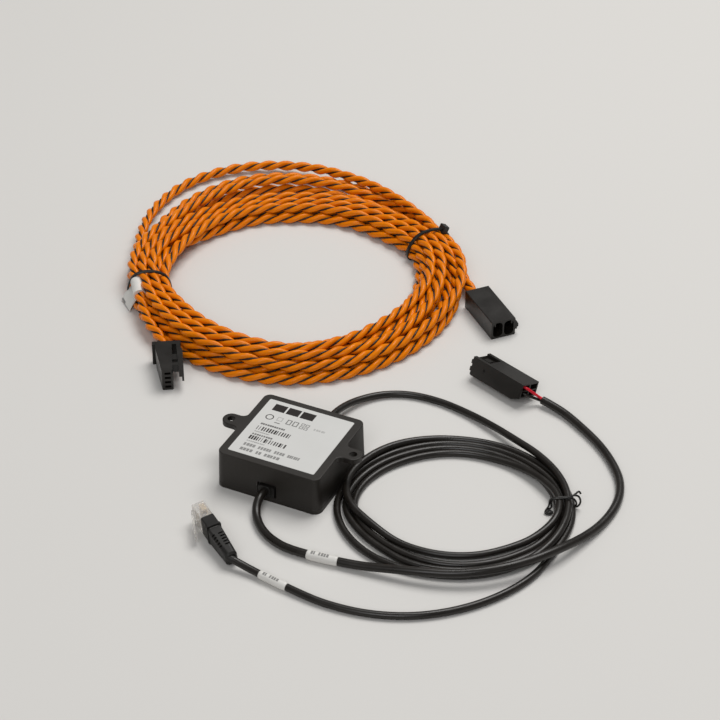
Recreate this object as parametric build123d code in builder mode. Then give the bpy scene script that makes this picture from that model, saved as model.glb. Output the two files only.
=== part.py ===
from build123d import *
import math
import os

os.makedirs("parts", exist_ok=True)

# Housing: a shallow box, open underneath, with a screw ear on each side wall.
# The box stands centred on the origin with its underside on the plane z = 0.
box_length = 60.0  # across the ears
box_depth = 58.0
box_height = 22.5
cover_thickness = 3.0
wall = 2.0
roof_thickness = 2.2
box_corner = 4.0
draft = 1.8  # degrees, side walls lean in towards the roof
roof_edge = 0.5
ear_reach = 6.5  # side wall to hole centre
ear_tip_radius = 4.8
ear_thickness = 3.0
ear_hole_radius = 2.15
ear_neck_fillet = 3.5
seat_clearance = 0.15

# Screws that hold the base cover, one in each corner
screw_inset = 6.6  # box edge to screw centre
boss_radius = 2.6
pilot_radius = 0.9
screw_length = 8.0
screw_head_radius = 2.1
screw_head_height = 1.6

# Circuit board and what is on it
board_room_x = 3.0  # board edge to the side wall
board_room_y = 7.0  # board edge to the front and the rear wall
board_thickness = 1.6
board_pillar_height = 3.0
board_pillar_radius = 2.2
board_pillar_inset_x = 10.0  # board edge to pillar centre
board_pillar_inset_y = 5.0
relay_length = 15.0
relay_depth = 7.5
relay_height = 8.0
relay_inset = 5.5  # left edge of the board to the relay
relay_y = 8.0
chip_length = 9.0
chip_depth = 6.0
chip_height = 1.8
chip_inset = 8.5  # right edge of the board to the chip
chip_y = 4.0
can_radius = 3.0
can_height = 7.0
can_inset = 8.0  # left edge of the board to the first can
can_pitch = 9.0
can_step = 2.0
can_y = -6.0

# Label on the roof
label_margin_x = 4.55  # nominal box edge to label edge
label_margin_y = 4.25
label_thickness = 0.2
label_corner = 0.8

# Cable bushings in the front and the rear wall
front_notch_width = 11.2
front_notch_top = 11.2
rear_notch_width = 9.0
rear_notch_top = 10.6
notch_corner = 1.0
bushing_flange = 1.2
bushing_rib_step = 0.9
bushing_rib_gap = 0.9
bushing_nose = 1.2
front_exit_x = -1.0
rear_exit_x = 1.6
exit_height = 6.8

# Cables and the sensing rope
lead_diameter = 4.7
data_diameter = 4.0
rope_diameter = 6.8
wire_diameter = 1.6
sleeve_wall = 0.35
sleeve_clearance = 0.05
lead_sleeve_length = 17.5
data_sleeve_length = 17.5
data_coil_height = 8.0
rope_coil_height = 17.5
coil_edge_round = 2.8
mouth_cut_length = 60.0  # past a coil's edge, so that a tube meets a flat face
waist_reach = 60.0  # across the widest bundle
rope_edge_round = 5.0
tie_groove = 1.2
tie_slack = 0.3

# Zip ties round the rope coil
zip_width = 2.6
zip_thickness = 1.1
zip_round = 6.0
zip_head_length = 6.0
zip_head_width = 5.0
zip_head_height = 4.2
zip_tail_length = 5.0

# Lead connector: four cavities at the back, latch bumps at the front
lead_body_length = 37.9
lead_body_width = 14.0
lead_body_height = 11.4
cavity_wall = 0.9
cavity_depth = 12.0
lead_latch_length = 10.5
lead_latch_sink = 1.6

# Rope receptacle: two deep cavities, open at the front
receptacle_length = 36.4
receptacle_width = 15.4
receptacle_height = 11.8
receptacle_wall = 1.1
cavity_crown = 2.6  # round upper corners of the two cavities
receptacle_rib = 0.9
receptacle_depth = 22.0
pin_radius = 0.8
pin_length = 12.0

# Rope plug: four circuits in one upright row
rope_plug_height = 13.6
rope_plug_length = 29.0
rope_plug_nose = 6.2
rope_plug_back = 9.4
rope_plug_flange = 3.4
rope_plug_slots = 4
rope_plug_slot_height = 1.5
rope_plug_slot_depth = 9.0

# Modular plug on its side, with its boot
plug_length = 21.5
plug_thickness = 6.6
plug_width = 11.7
plug_lift = 0.3
plug_wall = 0.9
contact_count = 8
contact_pitch = 1.02
contact_thickness = 0.35
contact_depth = 3.0
contact_length = 5.6
latch_thickness = 1.2
latch_width = 6.0
boot_start = 12.6
boot_end = 42.0
boot_thickness = 8.2
boot_height = 12.3
boot_rear_thickness = 6.6
boot_rear_height = 8.2
boot_wall = 1.2
boot_slot_count = 5
boot_slot_pitch = 2.1
boot_slot_width = 1.0
boot_slot_depth = 1.3

# Sizes that follow from the values above
lean = math.tan(math.radians(draft))
wall_rise = box_height - cover_thickness
skirt_length = box_length + 2 * wall_rise * lean
skirt_depth = box_depth + 2 * wall_rise * lean
skirt_corner = box_corner + wall_rise * lean
foot_length = box_length + 2 * box_height * lean
foot_depth = box_depth + 2 * box_height * lean
foot_corner = box_corner + box_height * lean
screw_pitch_x = box_length - 2 * screw_inset
screw_pitch_y = box_depth - 2 * screw_inset
board_length = box_length - 2 * wall - 2 * board_room_x
board_depth = box_depth - 2 * wall - 2 * board_room_y
board_pillar_pitch_x = board_length - 2 * board_pillar_inset_x
board_pillar_pitch_y = board_depth - 2 * board_pillar_inset_y
relay_x = -board_length / 2 + relay_inset + relay_length / 2
chip_x = board_length / 2 - chip_inset - chip_length / 2
can_x = -board_length / 2 + can_inset + can_radius
label_length = box_length - 2 * label_margin_x
label_depth = box_depth - 2 * label_margin_y
board_bottom = cover_thickness + board_pillar_height
board_top = board_bottom + board_thickness
roof_underside = box_height - roof_thickness
ear_pitch = box_length + 2 * ear_reach
front_wall_out = box_depth / 2 + (box_height - front_notch_top) * lean
rear_wall_out = box_depth / 2 + (box_height - rear_notch_top) * lean


def corner_radii(points):
    """Largest tangent arc that each corner of a route has room for."""
    spots = [Vector(*p) for p in points]
    radii = []
    for before, here, after in zip(spots, spots[1:], spots[2:]):
        run_in = here - before
        run_out = after - here
        half_turn = math.radians(run_in.get_angle(run_out) / 2)
        radii.append(0.45 * min(run_in.length, run_out.length) / math.tan(half_turn))
    return radii


def loop_radii(points):
    """The same for a closed route."""
    return corner_radii([points[-1], *points, points[0]])


# Where the loose pieces lie, each with its own frame
# Lead connector: x from the latch end to the wire end, y across the width away from
# the box, z square to its top. It rests on its far lower edge.
lead_seat = Plane(
    origin=(53.95, 115.9, 4.38),
    x_dir=(0.9330, -0.3600, 0.0),
    z_dir=(0.1112, 0.2883, 0.9511),
)
# Rope receptacle: x from the rope end to the open end, y across, z up
receptacle_seat = Plane(origin=(22.4, 183.0, 0), x_dir=(0.7455, -0.6665, 0), z_dir=(0, 0, 1))
# Rope plug: x from the rope end to the nose, y to the right, z up
rope_plug_seat = Plane(origin=(-110.9, 59.3, 0), x_dir=(0.5105, -0.8599, 0), z_dir=(0, 0, 1))
# Modular plug, lying on its side: x from the nose to the boot, y through the thickness
# away from the latch, z across the width. Its contacts face +y.
plug_seat = Plane(
    origin=(-26.36, -61.47, plug_lift),
    x_dir=(0.7961, -0.6052, 0),
    z_dir=(-0.0573, -0.0754, 0.9955),
)

# Cable routes. Each is a row of points on the centre line, from the box outwards.
lead_floor = lead_diameter / 2
data_floor = data_diameter / 2
rope_floor = rope_diameter / 2
front_mouth_y = -front_wall_out - bushing_rib_gap + 0.4 - bushing_nose
rear_mouth_y = rear_wall_out + bushing_nose
sleeve_lift = sleeve_wall + sleeve_clearance + 0.05
lead_route = [
    (front_exit_x, front_mouth_y, exit_height),
    (front_exit_x, -36.0, exit_height),
    (-0.2, -41.2, 4.4),
    (2.6, -46.6, lead_floor + 0.2),
    (8.4, -53.2, lead_floor),
    (17.6, -59.4, lead_floor),
    (31.5, -63.4, lead_floor + sleeve_lift),
    (66.0, -59.9, lead_floor + sleeve_lift),
    (84.0, -57.0, 5.6),
    (100.5, -53.8, 8.2),
    (116.5, -48.8, 10.2),
    (132.5, -39.6, 11.4),
    (147.2, -25.2, 11.9),
    (157.0, -8.5, 11.2),
    (163.8, 9.5, 6.2),
    (168.4, 27.5, lead_floor),
    (169.4, 46.0, lead_floor),
    (165.4, 61.5, lead_floor),
    (156.6, 75.0, lead_floor),
    (143.2, 88.9, lead_floor),
    (125.6, 101.3, lead_floor),
    (112.0, 108.9, 2.9),
    (100.4, 111.4, 4.0),
]
data_rear_route = [
    (rear_exit_x, rear_mouth_y, exit_height),
    (rear_exit_x, 43.5, exit_height),
    (3.0, 57.0, 5.2),
    (7.6, 69.5, 3.2),
    (16.4, 80.4, data_floor + 0.2),
    (30.0, 87.2, data_floor),
    (48.5, 88.3, data_floor),
    (67.5, 84.2, data_floor + 0.4),
    (84.5, 77.9, 3.6),
    (98.6, 71.0, 4.3),
    (111.5, 63.4, 4.3),
]
data_tail_route = [
    (149.6, 12.0, data_floor),
    (153.6, -8.0, data_floor),
    (151.4, -26.5, data_floor),
    (142.6, -47.0, data_floor),
    (128.6, -65.6, data_floor),
    (109.8, -80.6, data_floor),
    (88.0, -89.3, data_floor),
    (65.5, -91.7, data_floor),
    (48.5, -90.2, data_floor + sleeve_lift),
    (19.6, -85.6, 3.0),
    (10.2, -85.0, 5.2),
]
rope_left_route = [
    (-159.3, 109.5, 9.4),
    (-147.0, 92.0, 9.4),
    (-133.5, 76.5, 8.6),
    rope_plug_seat.from_local_coords(Vector(-12, -2.5, rope_plug_height / 2)),
    rope_plug_seat.from_local_coords(Vector(0, -2.5, rope_plug_height / 2)),
]
rope_right_route = [
    (-2.5, 221.0, 4.6),
    (13.0, 203.5, 5.2),
    receptacle_seat.from_local_coords(Vector(-9, receptacle_width / 2, receptacle_height / 2)),
    receptacle_seat.from_local_coords(Vector(0, receptacle_width / 2, receptacle_height / 2)),
]


def mouth(route, far=False):
    """The plane of a route's end face, looking along the cable from that end."""
    first = Vector(*route[-1 if far else 0])
    second = Vector(*route[-2 if far else 1])
    return Plane(origin=first, z_dir=second - first)


def midway(start, end):
    """A plane across the straight run between two points, at its middle."""
    a = Vector(*start)
    b = Vector(*end)
    return Plane(origin=(a + b) * 0.5, z_dir=b - a)


def report(title, line, tube, thick):
    """Print a tube's length and how its volume compares with section times length."""
    length = sum(edge.length for edge in line.line.edges())
    section = math.pi * thick**2 / 4
    print(title, "length", round(length, 1), "volume ratio", round(tube.part.volume / section / length, 4))


for title, route, thick in (
    ("lead", lead_route, lead_diameter),
    ("data rear", data_rear_route, data_diameter),
    ("data tail", data_tail_route, data_diameter),
    ("rope left", rope_left_route, rope_diameter),
    ("rope right", rope_right_route, rope_diameter),
):
    print(title, "radii in diameters", [round(r / thick, 1) for r in corner_radii(route)])

# Housing
with BuildPart() as housing:
    with BuildSketch(Plane.XY.offset(cover_thickness)):
        RectangleRounded(skirt_length, skirt_depth, skirt_corner)
    extrude(amount=wall_rise, taper=draft)
    with BuildSketch(Plane.XY.offset(box_height)) as ear_sketch:
        SlotCenterToCenter(ear_pitch, 2 * ear_tip_radius)
        Rectangle(box_length - 0.2, box_depth / 2)
        neck_corners = ear_sketch.vertices().filter_by(
            lambda v: abs(abs(v.X) - (box_length / 2 - 0.1)) < 0.01 and abs(v.Y) < box_depth / 5
        )
        fillet(neck_corners, ear_neck_fillet)
    extrude(amount=-ear_thickness)
    fillet(housing.faces().sort_by(Axis.Z)[-1].outer_wire().edges(), roof_edge)
    with BuildSketch(Plane.XY.offset(cover_thickness)):
        RectangleRounded(skirt_length - 2 * wall, skirt_depth - 2 * wall, skirt_corner - wall)
    extrude(amount=roof_underside - cover_thickness, taper=draft, mode=Mode.SUBTRACT)
    with BuildSketch(Plane.XY.offset(cover_thickness + seat_clearance)):
        with GridLocations(screw_pitch_x, screw_pitch_y, 2, 2):
            Circle(boss_radius)
    extrude(until=Until.NEXT)
    with Locations(Plane.XY.offset(box_height)):
        with GridLocations(ear_pitch, 1, 2, 1):
            Hole(ear_hole_radius, depth=ear_thickness)
    with BuildSketch(Plane.XY.offset(cover_thickness)):
        with GridLocations(screw_pitch_x, screw_pitch_y, 2, 2):
            Circle(pilot_radius)
    extrude(amount=screw_length, mode=Mode.SUBTRACT)
    with BuildSketch(Plane.XZ.offset(box_depth / 2 - wall - 1)) as front_notch:
        with Locations((0, cover_thickness)):
            Rectangle(
                front_notch_width,
                front_notch_top - cover_thickness,
                align=(Align.CENTER, Align.MIN),
            )
        fillet(front_notch.vertices().group_by(Axis.Z)[-1], notch_corner)
    extrude(amount=wall + 3, mode=Mode.SUBTRACT)
    with BuildSketch(Plane.XZ.offset(-box_depth / 2 + wall + 1)) as rear_notch:
        with Locations((rear_exit_x, cover_thickness)):
            Rectangle(
                rear_notch_width,
                rear_notch_top - cover_thickness,
                align=(Align.CENTER, Align.MIN),
            )
        fillet(rear_notch.vertices().group_by(Axis.Z)[-1], notch_corner)
    extrude(amount=-(wall + 3), mode=Mode.SUBTRACT)

housing.part.label = "housing"
export_step(housing.part, "parts/housing.step")

# Base cover: fills the underside flush, with a lip inside the walls
lip_height = 1.2
lip_width = 1.4
with BuildPart() as base_cover:
    with BuildSketch():
        RectangleRounded(foot_length, foot_depth, foot_corner)
    extrude(amount=cover_thickness, taper=draft)
    chamfer(base_cover.faces().sort_by(Axis.Z)[-1].outer_wire().edges(), 0.3)
    with BuildSketch(Plane.XY.offset(cover_thickness)):
        RectangleRounded(
            skirt_length - 2 * wall - 2 * seat_clearance - 2 * lip_height * lean,
            skirt_depth - 2 * wall - 2 * seat_clearance - 2 * lip_height * lean,
            skirt_corner - wall - seat_clearance,
        )
        RectangleRounded(
            skirt_length - 2 * wall - 2 * lip_width,
            skirt_depth - 2 * wall - 2 * lip_width,
            1.0,
            mode=Mode.SUBTRACT,
        )
        with GridLocations(screw_pitch_x, screw_pitch_y, 2, 2):
            Circle(boss_radius + 2 * seat_clearance, mode=Mode.SUBTRACT)
        Rectangle(front_notch_width + 4, 2 * box_depth, mode=Mode.SUBTRACT)
    extrude(amount=lip_height)
    with BuildSketch(Plane.XY.offset(cover_thickness)):
        with GridLocations(board_pillar_pitch_x, board_pillar_pitch_y, 2, 2):
            Circle(board_pillar_radius)
    extrude(amount=board_pillar_height)
    with Locations(Plane.XY.rotated((180, 0, 0))):
        with GridLocations(screw_pitch_x, screw_pitch_y, 2, 2):
            CounterBoreHole(
                pilot_radius + seat_clearance,
                screw_head_radius + seat_clearance,
                screw_head_height + seat_clearance,
                depth=cover_thickness,
            )

base_cover.part.label = "base_cover"
export_step(base_cover.part, "parts/base_cover.step")

# Cover screws: pan heads sunk below the underside, cross recess in each
screw_head_top = screw_head_height + seat_clearance
with BuildPart() as cover_screws:
    with Locations((0, 0, screw_head_top)):
        with GridLocations(screw_pitch_x, screw_pitch_y, 2, 2):
            Cylinder(
                pilot_radius,
                screw_length - screw_head_top,
                align=(Align.CENTER, Align.CENTER, Align.MIN),
            )
            Cylinder(
                screw_head_radius,
                screw_head_height,
                align=(Align.CENTER, Align.CENTER, Align.MAX),
            )
    with BuildSketch(Plane.XY.offset(screw_head_top - screw_head_height)):
        with GridLocations(screw_pitch_x, screw_pitch_y, 2, 2):
            Rectangle(2.4, 0.6)
            Rectangle(0.6, 2.4)
    extrude(amount=screw_head_height / 2, mode=Mode.SUBTRACT)

cover_screws.part.label = "cover_screws"
export_step(cover_screws.part, "parts/cover_screws.step")

# Circuit board with its corners cut away round the screw bosses
with BuildPart() as circuit_board:
    with BuildSketch(Plane.XY.offset(board_bottom)) as board_sketch:
        Rectangle(board_length, board_depth)
        with GridLocations(screw_pitch_x, screw_pitch_y, 2, 2):
            Circle(boss_radius + 0.6, mode=Mode.SUBTRACT)
    extrude(amount=board_thickness)

circuit_board.part.label = "circuit_board"
export_step(circuit_board.part, "parts/circuit_board.step")

with BuildPart() as relay:
    with Locations((relay_x, relay_y, board_top)):
        Box(relay_length, relay_depth, relay_height, align=(Align.CENTER, Align.CENTER, Align.MIN))
    chamfer(relay.faces().sort_by(Axis.Z)[-1].edges(), 0.5)

relay.part.label = "relay"
export_step(relay.part, "parts/relay.step")

with BuildPart() as chip:
    with Locations((chip_x, chip_y, board_top)):
        Box(chip_length, chip_depth, chip_height, align=(Align.CENTER, Align.CENTER, Align.MIN))
    chamfer(chip.faces().sort_by(Axis.Z)[-1].edges(), 0.3)

chip.part.label = "chip"
export_step(chip.part, "parts/chip.step")

with BuildPart() as capacitors:
    with Locations(
        (can_x, can_y, board_top),
        (can_x + can_pitch, can_y - can_step, board_top),
    ):
        Cylinder(can_radius, can_height, align=(Align.CENTER, Align.CENTER, Align.MIN))
    chamfer(capacitors.edges().filter_by(GeomType.CIRCLE).group_by(Axis.Z)[-1], 0.4)

capacitors.part.label = "capacitors"
export_step(capacitors.part, "parts/capacitors.step")

# Label plate on the roof
with BuildPart() as label_plate:
    with BuildSketch(Plane.XY.offset(box_height)):
        RectangleRounded(label_length, label_depth, label_corner)
    extrude(amount=label_thickness)

label_plate.part.label = "label_plate"
export_step(label_plate.part, "parts/label_plate.step")

# Front bushing: flange inside the wall, neck in the notch, two ribs and a round nose.
# The wall leans, so the neck starts at the wall's inner face at the notch's height.
front_face = Plane.XZ.offset(front_wall_out)
neck_height = front_notch_top - cover_thickness - 2 * seat_clearance
with BuildPart() as front_bushing:
    with BuildSketch(front_face.offset(-wall - 1.0)) as neck:
        with Locations((0, cover_thickness + seat_clearance)):
            Rectangle(
                front_notch_width - 2 * seat_clearance,
                neck_height,
                align=(Align.CENTER, Align.MIN),
            )
        fillet(neck.vertices().group_by(Axis.Z)[-1], notch_corner)
    extrude(amount=wall)
    with BuildSketch(front_face.offset(-wall - 1.0 - bushing_flange)):
        with Locations((0, cover_thickness + seat_clearance)):
            Rectangle(
                front_notch_width + 2.0,
                neck_height + 1.0,
                align=(Align.CENTER, Align.MIN),
            )
    extrude(amount=bushing_flange)
    with BuildSketch(front_face.offset(-1.0)) as step:
        with Locations((0, cover_thickness + seat_clearance)):
            Rectangle(
                front_notch_width - 2 * bushing_rib_step,
                neck_height - bushing_rib_step,
                align=(Align.CENTER, Align.MIN),
            )
        fillet(step.vertices().group_by(Axis.Z)[-1], notch_corner)
    extrude(amount=1.0 + bushing_rib_gap)
    with BuildSketch(front_face.offset(bushing_rib_gap - 0.4)) as rib:
        with Locations((front_exit_x, exit_height - lead_diameter / 2 - 0.9)):
            Rectangle(
                lead_diameter + 2.4,
                lead_diameter + 2.2,
                align=(Align.CENTER, Align.MIN),
            )
        fillet(rib.vertices().group_by(Axis.Z)[-1], 2.0)
    extrude(amount=bushing_nose)
    fillet(front_bushing.faces().sort_by(Axis.Y)[0].outer_wire().edges(), 0.4)

front_bushing.part.label = "front_bushing"
export_step(front_bushing.part, "parts/front_bushing.step")

# Rear bushing
rear_face = Plane(origin=(0, rear_wall_out, 0), x_dir=(-1, 0, 0), z_dir=(0, 1, 0))
rear_neck_height = rear_notch_top - cover_thickness - 2 * seat_clearance
with BuildPart() as rear_bushing:
    with BuildSketch(rear_face.offset(-wall - 1.0)) as rear_neck:
        with Locations((-rear_exit_x, cover_thickness + seat_clearance)):
            Rectangle(
                rear_notch_width - 2 * seat_clearance,
                rear_neck_height,
                align=(Align.CENTER, Align.MIN),
            )
        fillet(rear_neck.vertices().group_by(Axis.Z)[-1], notch_corner)
    extrude(amount=wall)
    with BuildSketch(rear_face.offset(-wall - 1.0 - bushing_flange)):
        with Locations((-rear_exit_x, cover_thickness + seat_clearance)):
            Rectangle(
                rear_notch_width + 2.0,
                rear_neck_height + 1.0,
                align=(Align.CENTER, Align.MIN),
            )
    extrude(amount=bushing_flange)
    with BuildSketch(rear_face.offset(-1.0)):
        with Locations((-rear_exit_x, exit_height)):
            Circle(data_diameter / 2 + 1.2)
    extrude(amount=1.0 + bushing_nose, taper=8)

rear_bushing.part.label = "rear_bushing"
export_step(rear_bushing.part, "parts/rear_bushing.step")

# Lead connector
with BuildPart(lead_seat) as lead_connector:
    with BuildSketch(
        Plane(lead_seat.origin, x_dir=lead_seat.x_dir, z_dir=-lead_seat.y_dir)
    ) as side_profile:
        with BuildLine():
            Polyline(
                (0.6, 0),
                (lead_body_length - 5.5, 0),
                (lead_body_length - 1.2, 2.2),
                (lead_body_length, 2.6),
                (lead_body_length, lead_body_height),
                (lead_latch_length, lead_body_height),
                (lead_latch_length - 1.2, lead_body_height - lead_latch_sink),
                (1.6, lead_body_height - lead_latch_sink - 0.4),
                (0.8, lead_body_height - 0.6),
                (0, lead_body_height - 1.2),
                (0, 0.6),
                close=True,
            )
        make_face()
    extrude(amount=-lead_body_width)
    with Locations((lead_latch_length / 2, 1.2, lead_body_height - 1.6)):
        Box(lead_latch_length, 2.4, 3.2)
    with Locations((lead_latch_length / 2, lead_body_width - 1.2, lead_body_height - 1.6)):
        Box(lead_latch_length, 2.4, 3.2)
    with Locations((5.4, lead_body_width / 2, lead_body_height - 2.4)):
        Box(4.5, 3.6, 2.6)
    with Locations((lead_body_length - cavity_depth / 2, lead_body_width / 2, (lead_body_height + 2.6) / 2)):
        with GridLocations(1, (lead_body_width - cavity_wall) / 2, 1, 2):
            Box(
                cavity_depth,
                (lead_body_width - 3 * cavity_wall) / 2,
                lead_body_height - 2.6 - 2 * cavity_wall,
                mode=Mode.SUBTRACT,
            )
    with Locations((lead_body_length - cavity_depth / 2, lead_body_width / 2, (lead_body_height + 2.6) / 2)):
        Box(cavity_depth, lead_body_width - 2 * cavity_wall, 0.8)
    with Locations((-0.8, lead_body_width / 2, 3.0), (-0.8, lead_body_width / 2, 7.4)):
        Box(2.4, lead_body_width - 3, 2.4)
    with BuildSketch(
        Plane(lead_seat.origin, x_dir=lead_seat.x_dir, z_dir=-lead_seat.y_dir)
    ):
        with Locations((8.6, 6.2)):
            Circle(0.9)
    extrude(amount=0.4)

lead_connector.part.label = "lead_connector"
export_step(lead_connector.part, "parts/lead_connector.step")

# Rope receptacle
cavity_width = (receptacle_width - 2 * receptacle_wall - receptacle_rib) / 2
receptacle_mouth = Plane(
    origin=receptacle_seat.from_local_coords(Vector(receptacle_length, 0, 0)),
    x_dir=receptacle_seat.y_dir,
    z_dir=receptacle_seat.x_dir,
)
with BuildPart(receptacle_seat) as rope_receptacle:
    with Locations((receptacle_length / 2, receptacle_width / 2, receptacle_height / 2)):
        Box(receptacle_length, receptacle_width, receptacle_height)
    long_edges = rope_receptacle.edges().filter_by(
        Axis(receptacle_seat.origin, receptacle_seat.x_dir)
    )
    chamfer(long_edges, 0.4)
    with BuildSketch(receptacle_mouth) as cavities:
        with Locations((receptacle_width / 2, receptacle_height / 2)):
            with GridLocations(cavity_width + receptacle_rib, 1, 2, 1):
                Rectangle(cavity_width, receptacle_height - 2 * receptacle_wall)
        fillet(cavities.vertices().group_by(Axis.Z)[-1], cavity_crown)
    extrude(amount=-receptacle_depth, mode=Mode.SUBTRACT)
    with Locations((receptacle_length - 2.2, receptacle_width + 0.6, 5.6)):
        Box(3.0, 2.0, 5.0)
    with Locations((receptacle_length - 1.4, receptacle_width + 1.2, 5.6)):
        Box(1.4, 2.4, 2.2)
    with Locations((receptacle_length - 3.5, receptacle_width / 2, receptacle_height - 2.3)):
        with GridLocations(1, 2 * cavity_width - 1.6, 1, 2):
            Box(7.0, 0.8, 2.2)

rope_receptacle.part.label = "rope_receptacle"
export_step(rope_receptacle.part, "parts/rope_receptacle.step")

# Contact pins, two in each cavity, standing on the cavity floor
with BuildPart(receptacle_seat) as receptacle_pins:
    with Locations(
        (
            receptacle_length - receptacle_depth + pin_length / 2,
            receptacle_width / 2,
            receptacle_height / 2,
        )
    ):
        with GridLocations(1, cavity_width + receptacle_rib, 1, 2):
            with Locations((0, 0, -2.1), (0, 0, 2.1)):
                Cylinder(pin_radius, pin_length, rotation=(0, 90, 0))

receptacle_pins.part.label = "receptacle_pins"
export_step(receptacle_pins.part, "parts/receptacle_pins.step")

# Rope plug
slot_pitch = (rope_plug_height - 1.6) / rope_plug_slots
with BuildPart(rope_plug_seat) as rope_plug:
    with BuildSketch(rope_plug_seat):
        with BuildLine():
            Polyline(
                (0, -rope_plug_back + 2.6),
                (7, -rope_plug_back + 2.8),
                (rope_plug_length, -rope_plug_nose + 2.8),
                (rope_plug_length, 2.8),
                (0, 2.8),
                close=True,
            )
        make_face()
    extrude(amount=rope_plug_height)
    chamfer(
        rope_plug.edges().filter_by(Axis.Z).sort_by(
            Axis(rope_plug_seat.origin, rope_plug_seat.x_dir)
        )[-2:],
        0.5,
    )
    with Locations((rope_plug_flange / 2, -0.3, rope_plug_height / 2)):
        Box(rope_plug_flange, 2 * 8.2, rope_plug_height)
    with BuildSketch(rope_plug_seat.offset(rope_plug_height)):
        with BuildLine():
            Polyline(
                (0, 5.4),
                (0, 7.0),
                (9.5, 8.2),
                (rope_plug_length + 0.5, 8.2),
                (rope_plug_length + 0.5, 6.4),
                (6.0, 5.4),
                close=True,
            )
        make_face()
    extrude(amount=-4.6)
    with BuildSketch(rope_plug_seat.offset(rope_plug_height)):
        with BuildLine():
            Polyline(
                (6.0, 7.6),
                (9.5, 8.9),
                (rope_plug_length + 0.5, 9.1),
                (rope_plug_length + 0.5, 8.0),
                (6.0, 7.0),
                close=True,
            )
        make_face()
    extrude(amount=-7.6)
    with Locations((14.3, 4.3, rope_plug_height - 3.4)):
        Box(5.4, 3.4, 4.4)
    with Locations((22.8, 4.5, rope_plug_height - 2.5)):
        Box(2.4, 3.8, 5.0)
    with Locations((rope_plug_length - rope_plug_slot_depth / 2, 0, rope_plug_height / 2)):
        with Locations(
            *[(0, -0.1, (n - 1.5) * slot_pitch) for n in range(rope_plug_slots)]
        ):
            Box(rope_plug_slot_depth, 3.4, rope_plug_slot_height, mode=Mode.SUBTRACT)

rope_plug.part.label = "rope_plug"
export_step(rope_plug.part, "parts/rope_plug.step")

# Modular plug
plug_tail_step = 0.9
contact_zone = (contact_count - 1) * contact_pitch
with BuildPart(plug_seat) as plug_body:
    with Locations((boot_start / 2, plug_thickness / 2, plug_width / 2)):
        Box(boot_start, plug_thickness, plug_width)
    with Locations(((boot_start + plug_length) / 2, plug_thickness / 2, plug_width / 2)):
        Box(
            plug_length - boot_start,
            plug_thickness - 2 * plug_tail_step,
            plug_width - 2 * plug_tail_step,
        )
    chamfer(
        plug_body.faces().sort_by(Axis(plug_seat.origin, plug_seat.x_dir))[0].edges(),
        0.4,
    )
    with BuildSketch(plug_seat.offset(plug_width / 2)):
        with BuildLine():
            Polyline(
                (1.0, 0.2),
                (1.0, -0.9),
                (3.6, -latch_thickness - 0.9),
                (17.6, -6.7),
                (18.2, -5.7),
                (4.8, -0.9),
                (4.2, 0.2),
                close=True,
            )
        make_face()
    extrude(amount=latch_width / 2, both=True)
    with Locations((contact_length / 2 + 0.5, plug_thickness - contact_depth / 2, plug_width / 2)):
        with Locations(
            *[
                (0, 0, (n - (contact_count - 1) / 2) * contact_pitch)
                for n in range(contact_count)
            ]
        ):
            Box(contact_length, contact_depth, contact_thickness + 0.1, mode=Mode.SUBTRACT)
    with Locations((plug_length - 6.5, plug_thickness / 2, plug_width / 2)):
        Box(
            13.0,
            plug_thickness - 2 * plug_tail_step - 2 * plug_wall,
            plug_width - 2 * plug_tail_step - 2 * plug_wall,
            mode=Mode.SUBTRACT,
        )

plug_body.part.label = "plug_body"
export_step(plug_body.part, "parts/plug_body.step")

with BuildPart(plug_seat) as plug_contacts:
    with Locations(
        (contact_length / 2 + 0.5, plug_thickness - contact_depth / 2 - 0.1, plug_width / 2)
    ):
        with Locations(
            *[
                (0, 0, (n - (contact_count - 1) / 2) * contact_pitch)
                for n in range(contact_count)
            ]
        ):
            Box(contact_length - 0.1, contact_depth - 0.3, contact_thickness)

plug_contacts.part.label = "plug_contacts"
export_step(plug_contacts.part, "parts/plug_contacts.step")

# Flattened cable end inside the clear plug
with BuildPart(plug_seat) as plug_core:
    with Locations((plug_length - 6.5, plug_thickness / 2, plug_width / 2)):
        Box(
            12.8,
            plug_thickness - 2 * plug_tail_step - 2 * plug_wall - 0.2,
            plug_width - 2 * plug_tail_step - 2 * plug_wall - 0.2,
        )

plug_core.part.label = "plug_core"
export_step(plug_core.part, "parts/plug_core.step")

# Boot: grips the stepped tail of the plug and tapers to the cable
boot_mid_y = plug_thickness / 2
boot_mid_z = boot_height / 2 - 0.1
boot_grip = 7.4
boot_lip = 1.2
boot_waist_thickness = 7.4
boot_waist_height = 10.6
boot_slot_start = 26.5
boot_slot_top = boot_mid_z - 0.5 + boot_waist_height / 2 - 0.5
boot_slot_fall = 0.2  # the taper lowers each slot a little


def plug_section(x):
    """A plane across the plug's axis: x through the thickness, y across the width."""
    spot = plug_seat.from_local_coords(Vector(x, 0, 0))
    return Plane(origin=spot, x_dir=plug_seat.y_dir, z_dir=plug_seat.x_dir)


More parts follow.
